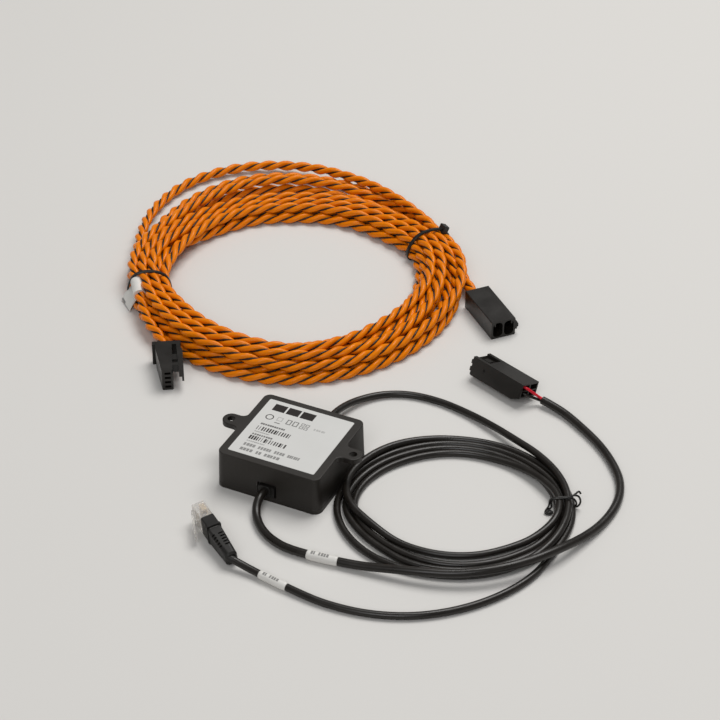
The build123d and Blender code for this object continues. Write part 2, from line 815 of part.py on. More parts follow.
with BuildPart() as plug_boot:
    with BuildSketch(plug_section(boot_start)):
        with Locations((boot_mid_y, boot_mid_z)):
            RectangleRounded(boot_thickness - 1.0, boot_height - 0.4, 0.8)
    extrude(amount=boot_grip)
    with BuildSketch(plug_section(boot_start + boot_grip)):
        with Locations((boot_mid_y, boot_mid_z)):
            RectangleRounded(boot_thickness, boot_height - 0.2, 1.0)
    extrude(amount=boot_lip)
    with BuildSketch(plug_section(boot_start + boot_grip + boot_lip)):
        with Locations((boot_mid_y, boot_mid_z - 0.5)):
            RectangleRounded(boot_waist_thickness, boot_waist_height, 1.0)
    with BuildSketch(plug_section(boot_end)):
        with Locations((boot_mid_y, boot_mid_z - 1.4)):
            RectangleRounded(boot_rear_thickness, boot_rear_height, 2.6)
    loft()
    chamfer(
        plug_boot.faces().sort_by(Axis(plug_seat.origin, plug_seat.x_dir))[-1].edges(), 0.9
    )
    with BuildSketch(plug_section(boot_start)):
        with Locations((plug_thickness / 2, plug_width / 2)):
            Rectangle(
                plug_thickness - 2 * plug_tail_step + 0.1,
                plug_width - 2 * plug_tail_step + 0.1,
            )
    extrude(amount=plug_length - boot_start + 0.1, mode=Mode.SUBTRACT)
    with BuildSketch(mouth(data_tail_route, far=True)):
        Circle(data_diameter / 2)
    extrude(amount=-4.0)
    with Locations(
        *[
            plug_section(boot_slot_start + n * boot_slot_pitch).offset(0)
            * Location((boot_mid_y + across, boot_slot_top - n * boot_slot_fall, 0))
            for n in range(boot_slot_count)
            for across in (-3.2, 1.3)
        ]
    ):
        Box(2.6, 2 * boot_slot_depth, boot_slot_width, mode=Mode.SUBTRACT)

plug_boot.part.label = "plug_boot"
export_step(plug_boot.part, "parts/plug_boot.step")

with BuildPart() as lead_cable:
    with BuildLine() as lead_line:
        FilletPolyline(*lead_route, radius=corner_radii(lead_route))
    with BuildSketch(mouth(lead_route)):
        Circle(lead_diameter / 2)
    sweep(path=lead_line.line)

lead_cable.part.label = "lead_cable"
export_step(lead_cable.part, "parts/lead_cable.step")
report("lead", lead_line, lead_cable, lead_diameter)

with BuildPart() as data_cable_rear:
    with BuildLine() as rear_line:
        FilletPolyline(*data_rear_route, radius=corner_radii(data_rear_route))
    with BuildSketch(mouth(data_rear_route)):
        Circle(data_diameter / 2)
    sweep(path=rear_line.line)

data_cable_rear.part.label = "data_cable_rear"
export_step(data_cable_rear.part, "parts/data_cable_rear.step")
report("data rear", rear_line, data_cable_rear, data_diameter)

with BuildPart() as data_cable_tail:
    with BuildLine() as tail_line:
        FilletPolyline(*data_tail_route, radius=corner_radii(data_tail_route))
    with BuildSketch(mouth(data_tail_route)):
        Circle(data_diameter / 2)
    sweep(path=tail_line.line)

data_cable_tail.part.label = "data_cable_tail"
export_step(data_cable_tail.part, "parts/data_cable_tail.step")
report("data tail", tail_line, data_cable_tail, data_diameter)

with BuildPart() as rope_tail_left:
    with BuildLine() as left_line:
        FilletPolyline(*rope_left_route, radius=corner_radii(rope_left_route))
    with BuildSketch(mouth(rope_left_route)):
        Circle(rope_diameter / 2)
    sweep(path=left_line.line)

rope_tail_left.part.label = "rope_tail_left"
export_step(rope_tail_left.part, "parts/rope_tail_left.step")
report("rope left", left_line, rope_tail_left, rope_diameter)

with BuildPart() as rope_tail_right:
    with BuildLine() as right_line:
        FilletPolyline(*rope_right_route, radius=corner_radii(rope_right_route))
    with BuildSketch(mouth(rope_right_route)):
        Circle(rope_diameter / 2)
    sweep(path=right_line.line)

rope_tail_right.part.label = "rope_tail_right"
export_step(rope_tail_right.part, "parts/rope_tail_right.step")
report("rope right", right_line, rope_tail_right, rope_diameter)

# White sleeves shrunk on to the straight runs of both cables
with BuildPart() as lead_sleeve:
    with BuildSketch(midway(lead_route[6], lead_route[7])):
        Circle(lead_diameter / 2 + sleeve_clearance + sleeve_wall)
        Circle(lead_diameter / 2 + sleeve_clearance, mode=Mode.SUBTRACT)
    extrude(amount=lead_sleeve_length / 2, both=True)

lead_sleeve.part.label = "lead_sleeve"
export_step(lead_sleeve.part, "parts/lead_sleeve.step")

with BuildPart() as data_sleeve:
    with BuildSketch(midway(data_tail_route[8], data_tail_route[9])):
        Circle(data_diameter / 2 + sleeve_clearance + sleeve_wall)
        Circle(data_diameter / 2 + sleeve_clearance, mode=Mode.SUBTRACT)
    extrude(amount=data_sleeve_length / 2, both=True)

data_sleeve.part.label = "data_sleeve"
export_step(data_sleeve.part, "parts/data_sleeve.step")

# Two thin wires leave the lead's jacket and enter the near cavities of its connector
shelf_z = (lead_body_height + 2.6) / 2
near_y = lead_body_width / 2 - (lead_body_width - cavity_wall) / 4
jacket = Vector(*lead_route[-1])
jacket_aim = (Vector(*lead_route[-1]) - Vector(*lead_route[-2])).normalized()
jacket_up = (Vector(0, 0, 1) - jacket_aim * jacket_aim.Z).normalized()
wire_spread = jacket_up * (wire_diameter / 2 + 0.1)


def wire_route(height, offset):
    """From the jacket's end face to the floor of a cavity in the connector."""
    inner = lead_seat.from_local_coords(
        Vector(lead_body_length - cavity_depth + 0.1, near_y, height)
    )
    lip = lead_seat.from_local_coords(Vector(lead_body_length + 0.2, near_y, height))
    start = jacket + offset
    return [start, start + jacket_aim * 1.8, lip, inner]


red_route = wire_route(shelf_z + 2.0, wire_spread)
black_route = wire_route(shelf_z - 2.0, wire_spread * -1)

with BuildPart() as lead_wire_red:
    with BuildLine() as red_line:
        FilletPolyline(*red_route, radius=[0.6 * r for r in corner_radii([tuple(p) for p in red_route])])
    with BuildSketch(Plane(origin=red_route[0], z_dir=jacket_aim)):
        Circle(wire_diameter / 2)
    sweep(path=red_line.line)

lead_wire_red.part.label = "lead_wire_red"
export_step(lead_wire_red.part, "parts/lead_wire_red.step")

with BuildPart() as lead_wire_black:
    with BuildLine() as black_line:
        FilletPolyline(*black_route, radius=[0.6 * r for r in corner_radii([tuple(p) for p in black_route])])
    with BuildSketch(Plane(origin=black_route[0], z_dir=jacket_aim)):
        Circle(wire_diameter / 2)
    sweep(path=black_line.line)

lead_wire_black.part.label = "lead_wire_black"
export_step(lead_wire_black.part, "parts/lead_wire_black.step")

# Coil of data cable: the outer shape of its turns
data_coil_outside = [
    (152.3, 10.5),
    (150.8, 31.5),
    (140.5, 50.5),
    (121.5, 63.0),
    (99.0, 67.0),
    (77.0, 62.8),
    (56.5, 50.5),
    (41.5, 32.5),
    (33.4, 9.5),
    (33.2, -15.5),
    (44.5, -35.5),
    (65.0, -47.0),
    (88.0, -48.8),
    (109.0, -44.5),
    (128.0, -34.5),
    (144.0, -15.5),
]
data_coil_inside = [
    (140.0, 20.0),
    (130.0, 40.0),
    (108.0, 50.6),
    (83.5, 48.3),
    (62.0, 35.6),
    (47.0, 15.5),
    (43.0, -5.5),
    (56.0, -23.0),
    (78.0, -31.5),
    (102.0, -30.8),
    (123.5, -19.5),
    (138.0, -2.0),
]
twist_centre = (145.0, 29.0)
twist_angle = 22.0  # degrees from the x axis to the band's plane
twist_wire = 1.1
twist_neck_width = 12.6
twist_round = 3.4
twist_plane = Plane(
    origin=(twist_centre[0], twist_centre[1], 0),
    x_dir=(math.cos(math.radians(twist_angle)), math.sin(math.radians(twist_angle)), 0),
    z_dir=(math.sin(math.radians(twist_angle)), -math.cos(math.radians(twist_angle)), 0),
)


def cut_mouth(route, thick, far=False):
    """Channel that lets a tube meet a coil on a flat face."""
    face = mouth(route, far)
    with Locations(face):
        Box(
            thick + 1.0,
            thick + 1.0,
            mouth_cut_length,
            align=(Align.CENTER, Align.CENTER, Align.MIN),
            mode=Mode.SUBTRACT,
        )


def waist(plane, reach, neck_width, height, thick, round_radius):
    """Section that a tie's waist takes out of a coil, with room for the tie all round."""
    with BuildSketch(plane) as section:
        with Locations((0, height / 2)):
            Rectangle(reach, 3 * height)
            RectangleRounded(
                neck_width,
                height - 2 * thick - 2 * tie_slack,
                round_radius - thick - tie_slack,
                mode=Mode.SUBTRACT,
            )
    return section.sketch


def band(plane, neck_width, height, thick, round_radius):
    """Section of a band that runs round a coil's waist."""
    with BuildSketch(plane) as section:
        with Locations((0, height / 2)):
            RectangleRounded(
                neck_width + 2 * tie_slack + 2 * thick, height, round_radius
            )
            RectangleRounded(
                neck_width + 2 * tie_slack,
                height - 2 * thick,
                round_radius - thick,
                mode=Mode.SUBTRACT,
            )
    return section.sketch


with BuildPart() as data_coil:
    with BuildSketch():
        with BuildLine():
            FilletPolyline(*data_coil_outside, radius=loop_radii([(*p, 0) for p in data_coil_outside]), close=True)
        make_face()
        with BuildLine():
            FilletPolyline(*data_coil_inside, radius=loop_radii([(*p, 0) for p in data_coil_inside]), close=True)
        make_face(mode=Mode.SUBTRACT)
    extrude(amount=data_coil_height)
    fillet(data_coil.faces().sort_by(Axis.Z)[-1].edges(), coil_edge_round)
    extrude(
        waist(twist_plane, 40, twist_neck_width, data_coil_height, twist_wire, twist_round),
        amount=twist_wire / 2 + tie_slack,
        both=True,
        mode=Mode.SUBTRACT,
    )
    cut_mouth(data_rear_route, data_diameter, far=True)
    cut_mouth(data_tail_route, data_diameter)

data_coil.part.label = "data_coil"
export_step(data_coil.part, "parts/data_coil.step")

# Twist tie: a loop of coated wire round the data coil, its ends twisted outside
twist_outer = twist_neck_width + 2 * tie_slack + 2 * twist_wire
with BuildPart() as coil_twist_tie:
    extrude(
        band(twist_plane, twist_neck_width, data_coil_height, twist_wire, twist_round),
        amount=twist_wire / 2,
        both=True,
    )
    with BuildSketch(Plane.XY.offset(3.6)):
        with Locations(
            twist_plane.from_local_coords(Vector(twist_outer / 2 + 2.2, 0, 1.6)),
            twist_plane.from_local_coords(Vector(twist_outer / 2 + 1.6, 0, -2.6)),
        ):
            Circle(2.9)
            Circle(1.8, mode=Mode.SUBTRACT)
    extrude(amount=twist_wire)

coil_twist_tie.part.label = "coil_twist_tie"
export_step(coil_twist_tie.part, "parts/coil_twist_tie.step")

# Coil of sensing rope: the outer shape of its turns, fanned out at the back
rope_coil_outside = [
    (21.0, 160.0),
    (22.6, 133.0),
    (13.5, 102.5),
    (-8.0, 78.5),
    (-34.0, 63.5),
    (-62.0, 56.8),
    (-88.0, 59.5),
    (-108.0, 70.0),
    (-128.0, 85.5),
    (-147.0, 101.5),
    (-168.5, 111.5),
    (-184.5, 136.0),
    (-195.5, 163.0),
    (-202.0, 192.0),
    (-200.5, 221.0),
    (-189.5, 248.0),
    (-166.0, 269.5),
    (-139.0, 281.0),
    (-111.0, 282.5),
    (-83.0, 277.5),
    (-56.0, 267.0),
    (-31.0, 254.5),
    (-12.0, 237.0),
    (0.0, 219.0),
    (10.5, 199.0),
    (15.0, 180.0),
]
rope_coil_centre = (-81.0, 156.0)
rope_coil_opening = 73.0


def tie_plane(angle, radius):
    """Upright plane across the rope coil at an angle round its centre."""
    out = Vector(math.cos(math.radians(angle)), math.sin(math.radians(angle)), 0)
    spot = Vector(*rope_coil_centre, 0) + out * radius
    return Plane(origin=spot, x_dir=out, z_dir=(out.Y, -out.X, 0))


left_tie = tie_plane(208.6, 85.6)
left_neck_width = 22.6
right_tie = tie_plane(51.1, 94.0)
right_neck_width = 27.0
with BuildPart() as rope_coil:
    with BuildSketch():
        with BuildLine():
            FilletPolyline(*rope_coil_outside, radius=loop_radii([(*p, 0) for p in rope_coil_outside]), close=True)
        make_face()
        with Locations(rope_coil_centre):
            Circle(rope_coil_opening, mode=Mode.SUBTRACT)
    extrude(amount=rope_coil_height)
    fillet(rope_coil.faces().sort_by(Axis.Z)[-1].edges(), rope_edge_round)
    extrude(
        waist(left_tie, waist_reach, left_neck_width, rope_coil_height, zip_thickness, zip_round),
        amount=zip_width / 2 + tie_slack,
        both=True,
        mode=Mode.SUBTRACT,
    )
    extrude(
        waist(right_tie, waist_reach, right_neck_width, rope_coil_height, zip_thickness, zip_round),
        amount=zip_width / 2 + tie_slack,
        both=True,
        mode=Mode.SUBTRACT,
    )
    cut_mouth(rope_left_route, rope_diameter)
    cut_mouth(rope_right_route, rope_diameter)

rope_coil.part.label = "rope_coil"
export_step(rope_coil.part, "parts/rope_coil.step")


with BuildPart() as zip_tie_left:
    extrude(
        band(left_tie, left_neck_width, rope_coil_height, zip_thickness, zip_round),
        amount=zip_width / 2,
        both=True,
    )

zip_tie_left.part.label = "zip_tie_left"
export_step(zip_tie_left.part, "parts/zip_tie_left.step")

with BuildPart() as zip_tie_right:
    extrude(
        band(right_tie, right_neck_width, rope_coil_height, zip_thickness, zip_round),
        amount=zip_width / 2,
        both=True,
    )

zip_tie_right.part.label = "zip_tie_right"
export_step(zip_tie_right.part, "parts/zip_tie_right.step")

# Head of the right tie, on the outer shoulder of its band, with the cut end of the strap
head_spot = Plane(
    origin=right_tie.from_local_coords(
        Vector(right_neck_width / 2 + tie_slack + zip_thickness - 0.6, rope_coil_height - 3.0, 0)
    ),
    x_dir=right_tie.z_dir,
    z_dir=right_tie.x_dir + Vector(0, 0, 1),
)
with BuildPart(head_spot) as zip_head:
    with Locations((0, 0, zip_head_height / 2 + 0.5)):
        Box(zip_head_width, zip_head_length, zip_head_height)
    chamfer(zip_head.faces().sort_by(Axis(head_spot.origin, head_spot.z_dir))[-1].edges(), 0.7)
    with Locations((0, 0, zip_head_height + 0.5 + zip_tail_length / 2)):
        Box(zip_width, zip_thickness, zip_tail_length)

zip_head.part.label = "zip_head"
export_step(zip_head.part, "parts/zip_head.step")

# Paper flag folded round the rope just past the left tie
flag_run = midway(rope_left_route[0], rope_left_route[1])
flag_plane = Plane(
    origin=flag_run.origin, x_dir=Vector(0, 0, 1).cross(flag_run.z_dir) * -1, z_dir=flag_run.z_dir
)
with BuildPart() as rope_flag:
    with BuildSketch(flag_plane):
        Circle(rope_diameter / 2 + 0.1 + 0.35)
        with Locations(Location((rope_diameter / 2 + 0.2, 0), -90)):
            Rectangle(8.6, 0.5, align=(Align.MIN, Align.CENTER))
        Circle(rope_diameter / 2 + 0.1, mode=Mode.SUBTRACT)
    extrude(amount=5.0, both=True)

rope_flag.part.label = "rope_flag"
export_step(rope_flag.part, "parts/rope_flag.step")
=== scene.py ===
import bmesh
import bpy
import math
import numpy as np
from mathutils import Matrix, Vector


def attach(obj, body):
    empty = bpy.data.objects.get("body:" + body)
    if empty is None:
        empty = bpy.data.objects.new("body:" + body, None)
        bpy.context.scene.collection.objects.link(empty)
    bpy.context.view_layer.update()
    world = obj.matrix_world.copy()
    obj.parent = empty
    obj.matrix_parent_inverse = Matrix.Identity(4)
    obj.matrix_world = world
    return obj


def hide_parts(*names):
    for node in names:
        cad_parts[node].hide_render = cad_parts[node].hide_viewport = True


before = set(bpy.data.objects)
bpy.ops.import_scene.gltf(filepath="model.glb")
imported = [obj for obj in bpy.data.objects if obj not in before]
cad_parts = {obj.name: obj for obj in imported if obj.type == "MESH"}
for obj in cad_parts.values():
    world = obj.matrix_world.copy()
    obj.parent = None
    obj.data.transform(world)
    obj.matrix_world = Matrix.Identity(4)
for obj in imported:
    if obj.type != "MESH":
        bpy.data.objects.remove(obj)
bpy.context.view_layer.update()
body = "root"
mm = 0.001
print("frame loaded:", len(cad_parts), "nodes")


# the camera stands where the photograph's stood
viewValues = {
    "aim": (-10.86, 107.33, 0.0),   # floor point in the middle of the picture, mm
    "azimuth": 25.55,
    "elevation": 35.51,
    "distance": 1270.09,
    "lens": 110.0,
    "sensor": 36.0,
    "farthest": 20.0,               # metres
}


def placeCamera(values):
    # back points from the aim to the camera, right stays level, up is their cross product
    a, e = math.radians(values["azimuth"]), math.radians(values["elevation"])
    back = Vector((math.sin(a) * math.cos(e), -math.cos(a) * math.cos(e), math.sin(e)))
    right = Vector((math.cos(a), math.sin(a), 0.0))
    up = back.cross(right)
    data = bpy.data.cameras.new("viewCamera")
    data.lens = values["lens"]
    data.sensor_width = values["sensor"]
    data.clip_end = values["farthest"]
    camera = bpy.data.objects.new("viewCamera", data)
    turn = Matrix((right, up, back)).transposed().to_4x4()
    turn.translation = (Vector(values["aim"]) + back * values["distance"]) * mm
    camera.matrix_world = turn
    bpy.context.collection.objects.link(camera)
    bpy.context.scene.camera = camera


placeCamera(viewValues)
print("camera placed")


def newMaterial(name):
    material = bpy.data.materials.new(name)
    material.use_nodes = True
    nodes = material.node_tree.nodes
    nodes.clear()
    out = nodes.new("ShaderNodeOutputMaterial")
    surface = nodes.new("ShaderNodeBsdfPrincipled")
    material.node_tree.links.new(surface.outputs["BSDF"], out.inputs["Surface"])
    return material, material.node_tree, surface


def objectVector(tree, uv=False):
    source = tree.nodes.new("ShaderNodeTexCoord")
    return source.outputs["UV" if uv else "Object"]


def mathNode(tree, operation, a, b=None, c=None):
    node = tree.nodes.new("ShaderNodeMath")
    node.operation = operation
    for slot, value in zip(node.inputs, (a, b, c)):
        if value is None:
            continue
        if isinstance(value, (int, float)):
            slot.default_value = value
        else:
            tree.links.new(value, slot)
    return node.outputs[0]


def mixColor(tree, factor, a, b):
    node = tree.nodes.new("ShaderNodeMix")
    node.data_type = "RGBA"
    for slot, value in ((node.inputs[0], factor), (node.inputs[6], a), (node.inputs[7], b)):
        if isinstance(value, tuple):
            slot.default_value = (*value, 1.0)[:4]
        elif isinstance(value, (int, float)):
            slot.default_value = value
        else:
            tree.links.new(value, slot)
    return node.outputs[2]


def mapRange(tree, value, low, high, toLow, toHigh):
    node = tree.nodes.new("ShaderNodeMapRange")
    tree.links.new(value, node.inputs[0])
    for slot, number in zip(list(node.inputs)[1:5], (low, high, toLow, toHigh)):
        slot.default_value = number
    return node.outputs[0]


def newGroup(name, inputs, outputs):
    group = bpy.data.node_groups.new(name, "ShaderNodeTree")
    for label, kind, value in inputs:
        socket = group.interface.new_socket(label, in_out="INPUT", socket_type=kind)
        if value is not None:
            socket.default_value = value
    for label, kind in outputs:
        group.interface.new_socket(label, in_out="OUTPUT", socket_type=kind)
    return group, group.nodes.new("NodeGroupInput"), group.nodes.new("NodeGroupOutput")


def useGroup(tree, group, **values):
    node = tree.nodes.new("ShaderNodeGroup")
    node.node_tree = group
    for label, value in values.items():
        if isinstance(value, (int, float)):
            node.inputs[label].default_value = value
        else:
            tree.links.new(value, node.inputs[label])
    return node


def noiseNode(tree, vector, scale, detail, rough):
    node = tree.nodes.new("ShaderNodeTexNoise")
    tree.links.new(vector, node.inputs["Vector"])
    if isinstance(scale, (int, float)):
        node.inputs["Scale"].default_value = scale
    else:
        tree.links.new(scale, node.inputs["Scale"])
    node.inputs["Detail"].default_value = detail
    node.inputs["Roughness"].default_value = rough
    return node.outputs["Fac"]


grainValues = {
    "fine": 2600.0,             # cells of the fine grain per metre
    "patch": 90.0,              # slow patches per metre
    "fineNoise": (2.0, 0.6),    # detail and roughness of the noise
    "patchNoise": (3.0, 0.55),
    "speckNoise": (1.0, 0.5),
    "patchRange": (0.3, 0.7),
    "speckScale": 0.55,         # share of the fine grain's scale
    "speckRange": (0.72, 0.8),
}


def buildGrain(values):
    # fine moulded grain for height, slow patches for colour and roughness, rare pale specks
    group, into, out = newGroup(
        "mouldGrain",
        [
            ("Vector", "NodeSocketVector", None),
            ("Fine", "NodeSocketFloat", values["fine"]),
            ("Patch", "NodeSocketFloat", values["patch"]),
        ],
        [("Height", "NodeSocketFloat"), ("Patches", "NodeSocketFloat"), ("Specks", "NodeSocketFloat")],
    )
    vector, scale = into.outputs["Vector"], into.outputs["Fine"]
    fine = noiseNode(group, vector, scale, *values["fineNoise"])
    patch = noiseNode(group, vector, into.outputs["Patch"], *values["patchNoise"])
    coarser = mathNode(group, "MULTIPLY", scale, values["speckScale"])
    speck = noiseNode(group, vector, coarser, *values["speckNoise"])
    group.links.new(fine, out.inputs["Height"])
    group.links.new(mapRange(group, patch, *values["patchRange"], 0.0, 1.0), out.inputs["Patches"])
    group.links.new(mapRange(group, speck, *values["speckRange"], 0.0, 1.0), out.inputs["Specks"])
    return group


def buildField():
    # 1 inside an upright rectangle of the print, 0 outside: the product of its four sides' tests
    group, into, out = newGroup(
        "printField",
        [(label, "NodeSocketFloat", 0.0) for label in ("X", "Y", "Left", "Right", "Low", "High")],
        [("Mask", "NodeSocketFloat")],
    )
    x, y = into.outputs["X"], into.outputs["Y"]
    a = mathNode(group, "GREATER_THAN", x, into.outputs["Left"])
    b = mathNode(group, "LESS_THAN", x, into.outputs["Right"])
    c = mathNode(group, "GREATER_THAN", y, into.outputs["Low"])
    d = mathNode(group, "LESS_THAN", y, into.outputs["High"])
    across, upward = mathNode(group, "MULTIPLY", a, b), mathNode(group, "MULTIPLY", c, d)
    group.links.new(mathNode(group, "MULTIPLY", across, upward), out.inputs["Mask"])
    return group


def buildDashes():
    # one bar in each cell of the given pitch: width = Fill + Spread (r - 0.5), with r the random
    # number of the cell's index; where that of 1.618 times the index is under Gap, the cell is bare
    group, into, out = newGroup(
        "printDashes",
        [
            ("Along", "NodeSocketFloat", 0.0),
            ("Pitch", "NodeSocketFloat", 1.0),
            ("Fill", "NodeSocketFloat", 0.5),
            ("Spread", "NodeSocketFloat", 0.4),
            ("Seed", "NodeSocketFloat", 0.0),
            ("Gap", "NodeSocketFloat", 0.1),
        ],
        [("Mask", "NodeSocketFloat")],
    )
    cells = mathNode(group, "DIVIDE", into.outputs["Along"], into.outputs["Pitch"])
    index = mathNode(group, "ADD", mathNode(group, "FLOOR", cells), into.outputs["Seed"])
    first, second = (group.nodes.new("ShaderNodeTexWhiteNoise") for _ in range(2))
    for node, source in ((first, index), (second, mathNode(group, "MULTIPLY", index, 1.618))):
        node.noise_dimensions = "1D"
        group.links.new(source, node.inputs["W"])
    centred = mathNode(group, "SUBTRACT", first.outputs["Value"], 0.5)
    width = mathNode(group, "MULTIPLY_ADD", centred, into.outputs["Spread"], into.outputs["Fill"])
    bar = mathNode(group, "LESS_THAN", mathNode(group, "FRACT", cells), width)
    kept = mathNode(group, "GREATER_THAN", second.outputs["Value"], into.outputs["Gap"])
    group.links.new(mathNode(group, "MULTIPLY", bar, kept), out.inputs["Mask"])
    return group


grain = buildGrain(grainValues)
fieldGroup = buildField()
dashGroup = buildDashes()


def addBump(tree, surface, height, strength, distance):
    bump = tree.nodes.new("ShaderNodeBump")
    bump.inputs["Strength"].default_value = strength
    bump.inputs["Distance"].default_value = distance
    tree.links.new(height, bump.inputs["Height"])
    tree.links.new(bump.outputs["Normal"], surface.inputs["Normal"])


plainFinish = {
    "fine": 2600.0, "patch": 90.0, "specks": 0.0, "speckColor": (0.3, 0.29, 0.28),
    "metal": 0.0, "specular": 0.5, "depth": 0.00005,
}


def plasticMaterial(name, own):
    # two close colours by slow patches, roughness by the same patches, grain as bump; what a
    # finish doesn't say is taken from the plain finish
    values = {**plainFinish, **own}
    material, tree, surface = newMaterial(name)
    node = useGroup(tree, grain, Vector=objectVector(tree), Fine=values["fine"], Patch=values["patch"])
    patches = node.outputs["Patches"]
    tone = mixColor(tree, patches, values["color"], values["second"])
    specks = mathNode(tree, "MULTIPLY", node.outputs["Specks"], values["specks"])
    tone = mixColor(tree, specks, tone, values["speckColor"])
    tree.links.new(tone, surface.inputs["Base Color"])
    tree.links.new(mapRange(tree, patches, 0.0, 1.0, *values["rough"]), surface.inputs["Roughness"])
    surface.inputs["Metallic"].default_value = values["metal"]
    surface.inputs["Specular IOR Level"].default_value = values["specular"]
    addBump(tree, surface, node.outputs["Height"], values["bump"], values["depth"])
    return material


finishes = {
    "boxPlastic": {
        "color": (0.0135, 0.0110, 0.0086), "second": (0.0175, 0.0145, 0.0116),
        "rough": (0.40, 0.50), "bump": 0.5, "depth": 0.00004, "fine": 3200.0, "patch": 60.0, "specks": 0.10,
        "specular": 0.36,
    },
    "bushingPlastic": {
        "color": (0.0075, 0.0068, 0.006), "second": (0.011, 0.0100, 0.0088),
        "rough": (0.38, 0.48), "bump": 0.3, "specular": 0.34,
    },
    "connectorPlastic": {
        "color": (0.0078, 0.0064, 0.0050), "second": (0.0112, 0.0094, 0.0076),
        "rough": (0.27, 0.38), "bump": 0.4, "fine": 3600.0, "specks": 0.08, "specular": 0.42,
    },
    "bootRubber": {
        "color": (0.0085, 0.0078, 0.007), "second": (0.0125, 0.0115, 0.0102),
        "rough": (0.42, 0.54), "bump": 0.35, "specular": 0.36,
    },
    "cableJacket": {
        "color": (0.0094, 0.0076, 0.0060), "second": (0.0136, 0.0112, 0.0090),
        "rough": (0.25, 0.37), "bump": 0.35, "fine": 1500.0, "patch": 120.0, "specular": 0.40,
    },
    "tieNylon": {
        "color": (0.0075, 0.0066, 0.0056), "second": (0.011, 0.0098, 0.0084),
        "rough": (0.34, 0.44), "bump": 0.25, "specular": 0.4,
    },
    "wireBlack": {
        "color": (0.0085, 0.0065, 0.0052), "second": (0.013, 0.010, 0.008),
        "rough": (0.3, 0.42), "bump": 0.2, "specular": 0.35,
    },
    "wireRed": {
        "color": (0.66, 0.010, 0.030), "second": (0.58, 0.008, 0.024),
        "rough": (0.26, 0.36), "bump": 0.15, "specular": 0.35,
    },
    "ropeOrange": {
        "color": (0.80, 0.214, 0.0004), "second": (0.745, 0.184, 0.0003),
        "rough": (0.20, 0.30), "bump": 0.3, "depth": 0.00005, "fine": 1100.0, "patch": 70.0,
        "specular": 0.17,
    },
    "flagPaper": {
        "color": (0.66, 0.655, 0.64), "second": (0.60, 0.595, 0.58),
        "rough": (0.42, 0.55), "bump": 0.2,
    },
    "boardMask": {
        "color": (0.012, 0.075, 0.030), "second": (0.016, 0.09, 0.036),
        "rough": (0.3, 0.4), "bump": 0.1,
    },
    "partBlack": {
        "color": (0.015, 0.015, 0.016), "second": (0.02, 0.02, 0.021),
        "rough": (0.4, 0.5), "bump": 0.2,
    },
    "canMetal": {
        "color": (0.62, 0.62, 0.63), "second": (0.56, 0.56, 0.57),
        "rough": (0.25, 0.35), "bump": 0.1, "metal": 1.0,
    },
    "screwSteel": {
        "color": (0.55, 0.55, 0.56), "second": (0.48, 0.48, 0.49),
        "rough": (0.3, 0.42), "bump": 0.15, "metal": 1.0,
    },
    "contactGold": {
        "color": (0.86, 0.66, 0.36), "second": (0.78, 0.59, 0.31),
        "rough": (0.3, 0.42), "bump": 0.1, "metal": 0.8,
    },
}
materials = {name: plasticMaterial(name, values) for name, values in finishes.items()}


clearValues = {
    "facing": (0.93, 0.905, 0.865),
    # the edge colour is painted shade: the colour turns towards it at grazing angles
    "edge": (0.30, 0.26, 0.22),
    "edgeShadeShare": 0.8,
    "blend": 0.35,
    "alpha": (0.40, 0.95),
    "transmission": 0.55,
    "index": 1.35,
    "coat": 0.7,
    "coatRough": 0.06,
    "rough": (0.05, 0.12),
    "fine": 900.0,
    "patch": 220.0,
    "bump": 0.15,
    "depth": 0.00003,
}


def clearMaterial(values):
    # clear moulded plastic with faint flow marks: thin where it faces the eye and denser towards
    # its edges, where its colour is darkened as painted shade at grazing angles
    material, tree, surface = newMaterial("plugClear")
    node = useGroup(tree, grain, Vector=objectVector(tree), Fine=values["fine"], Patch=values["patch"])
    rim = tree.nodes.new("ShaderNodeLayerWeight")
    rim.inputs["Blend"].default_value = values["blend"]
    facing = rim.outputs["Facing"]
    # painted shade: the colour darkens from the facing tone to the edge tone at grazing angles
    share = mathNode(tree, "MULTIPLY", facing, values["edgeShadeShare"])
    tone = mixColor(tree, share, values["facing"], values["edge"])
    tree.links.new(tone, surface.inputs["Base Color"])
    tree.links.new(mapRange(tree, facing, 0.0, 1.0, *values["alpha"]), surface.inputs["Alpha"])
    surface.inputs["Transmission Weight"].default_value = values["transmission"]
    surface.inputs["IOR"].default_value = values["index"]
    surface.inputs["Coat Weight"].default_value = values["coat"]
    surface.inputs["Coat Roughness"].default_value = values["coatRough"]
    rough = mapRange(tree, node.outputs["Patches"], 0.0, 1.0, *values["rough"])
    tree.links.new(rough, surface.inputs["Roughness"])
    addBump(tree, surface, node.outputs["Height"], values["bump"], values["depth"])
    return material


materials["plugClear"] = clearMaterial(clearValues)


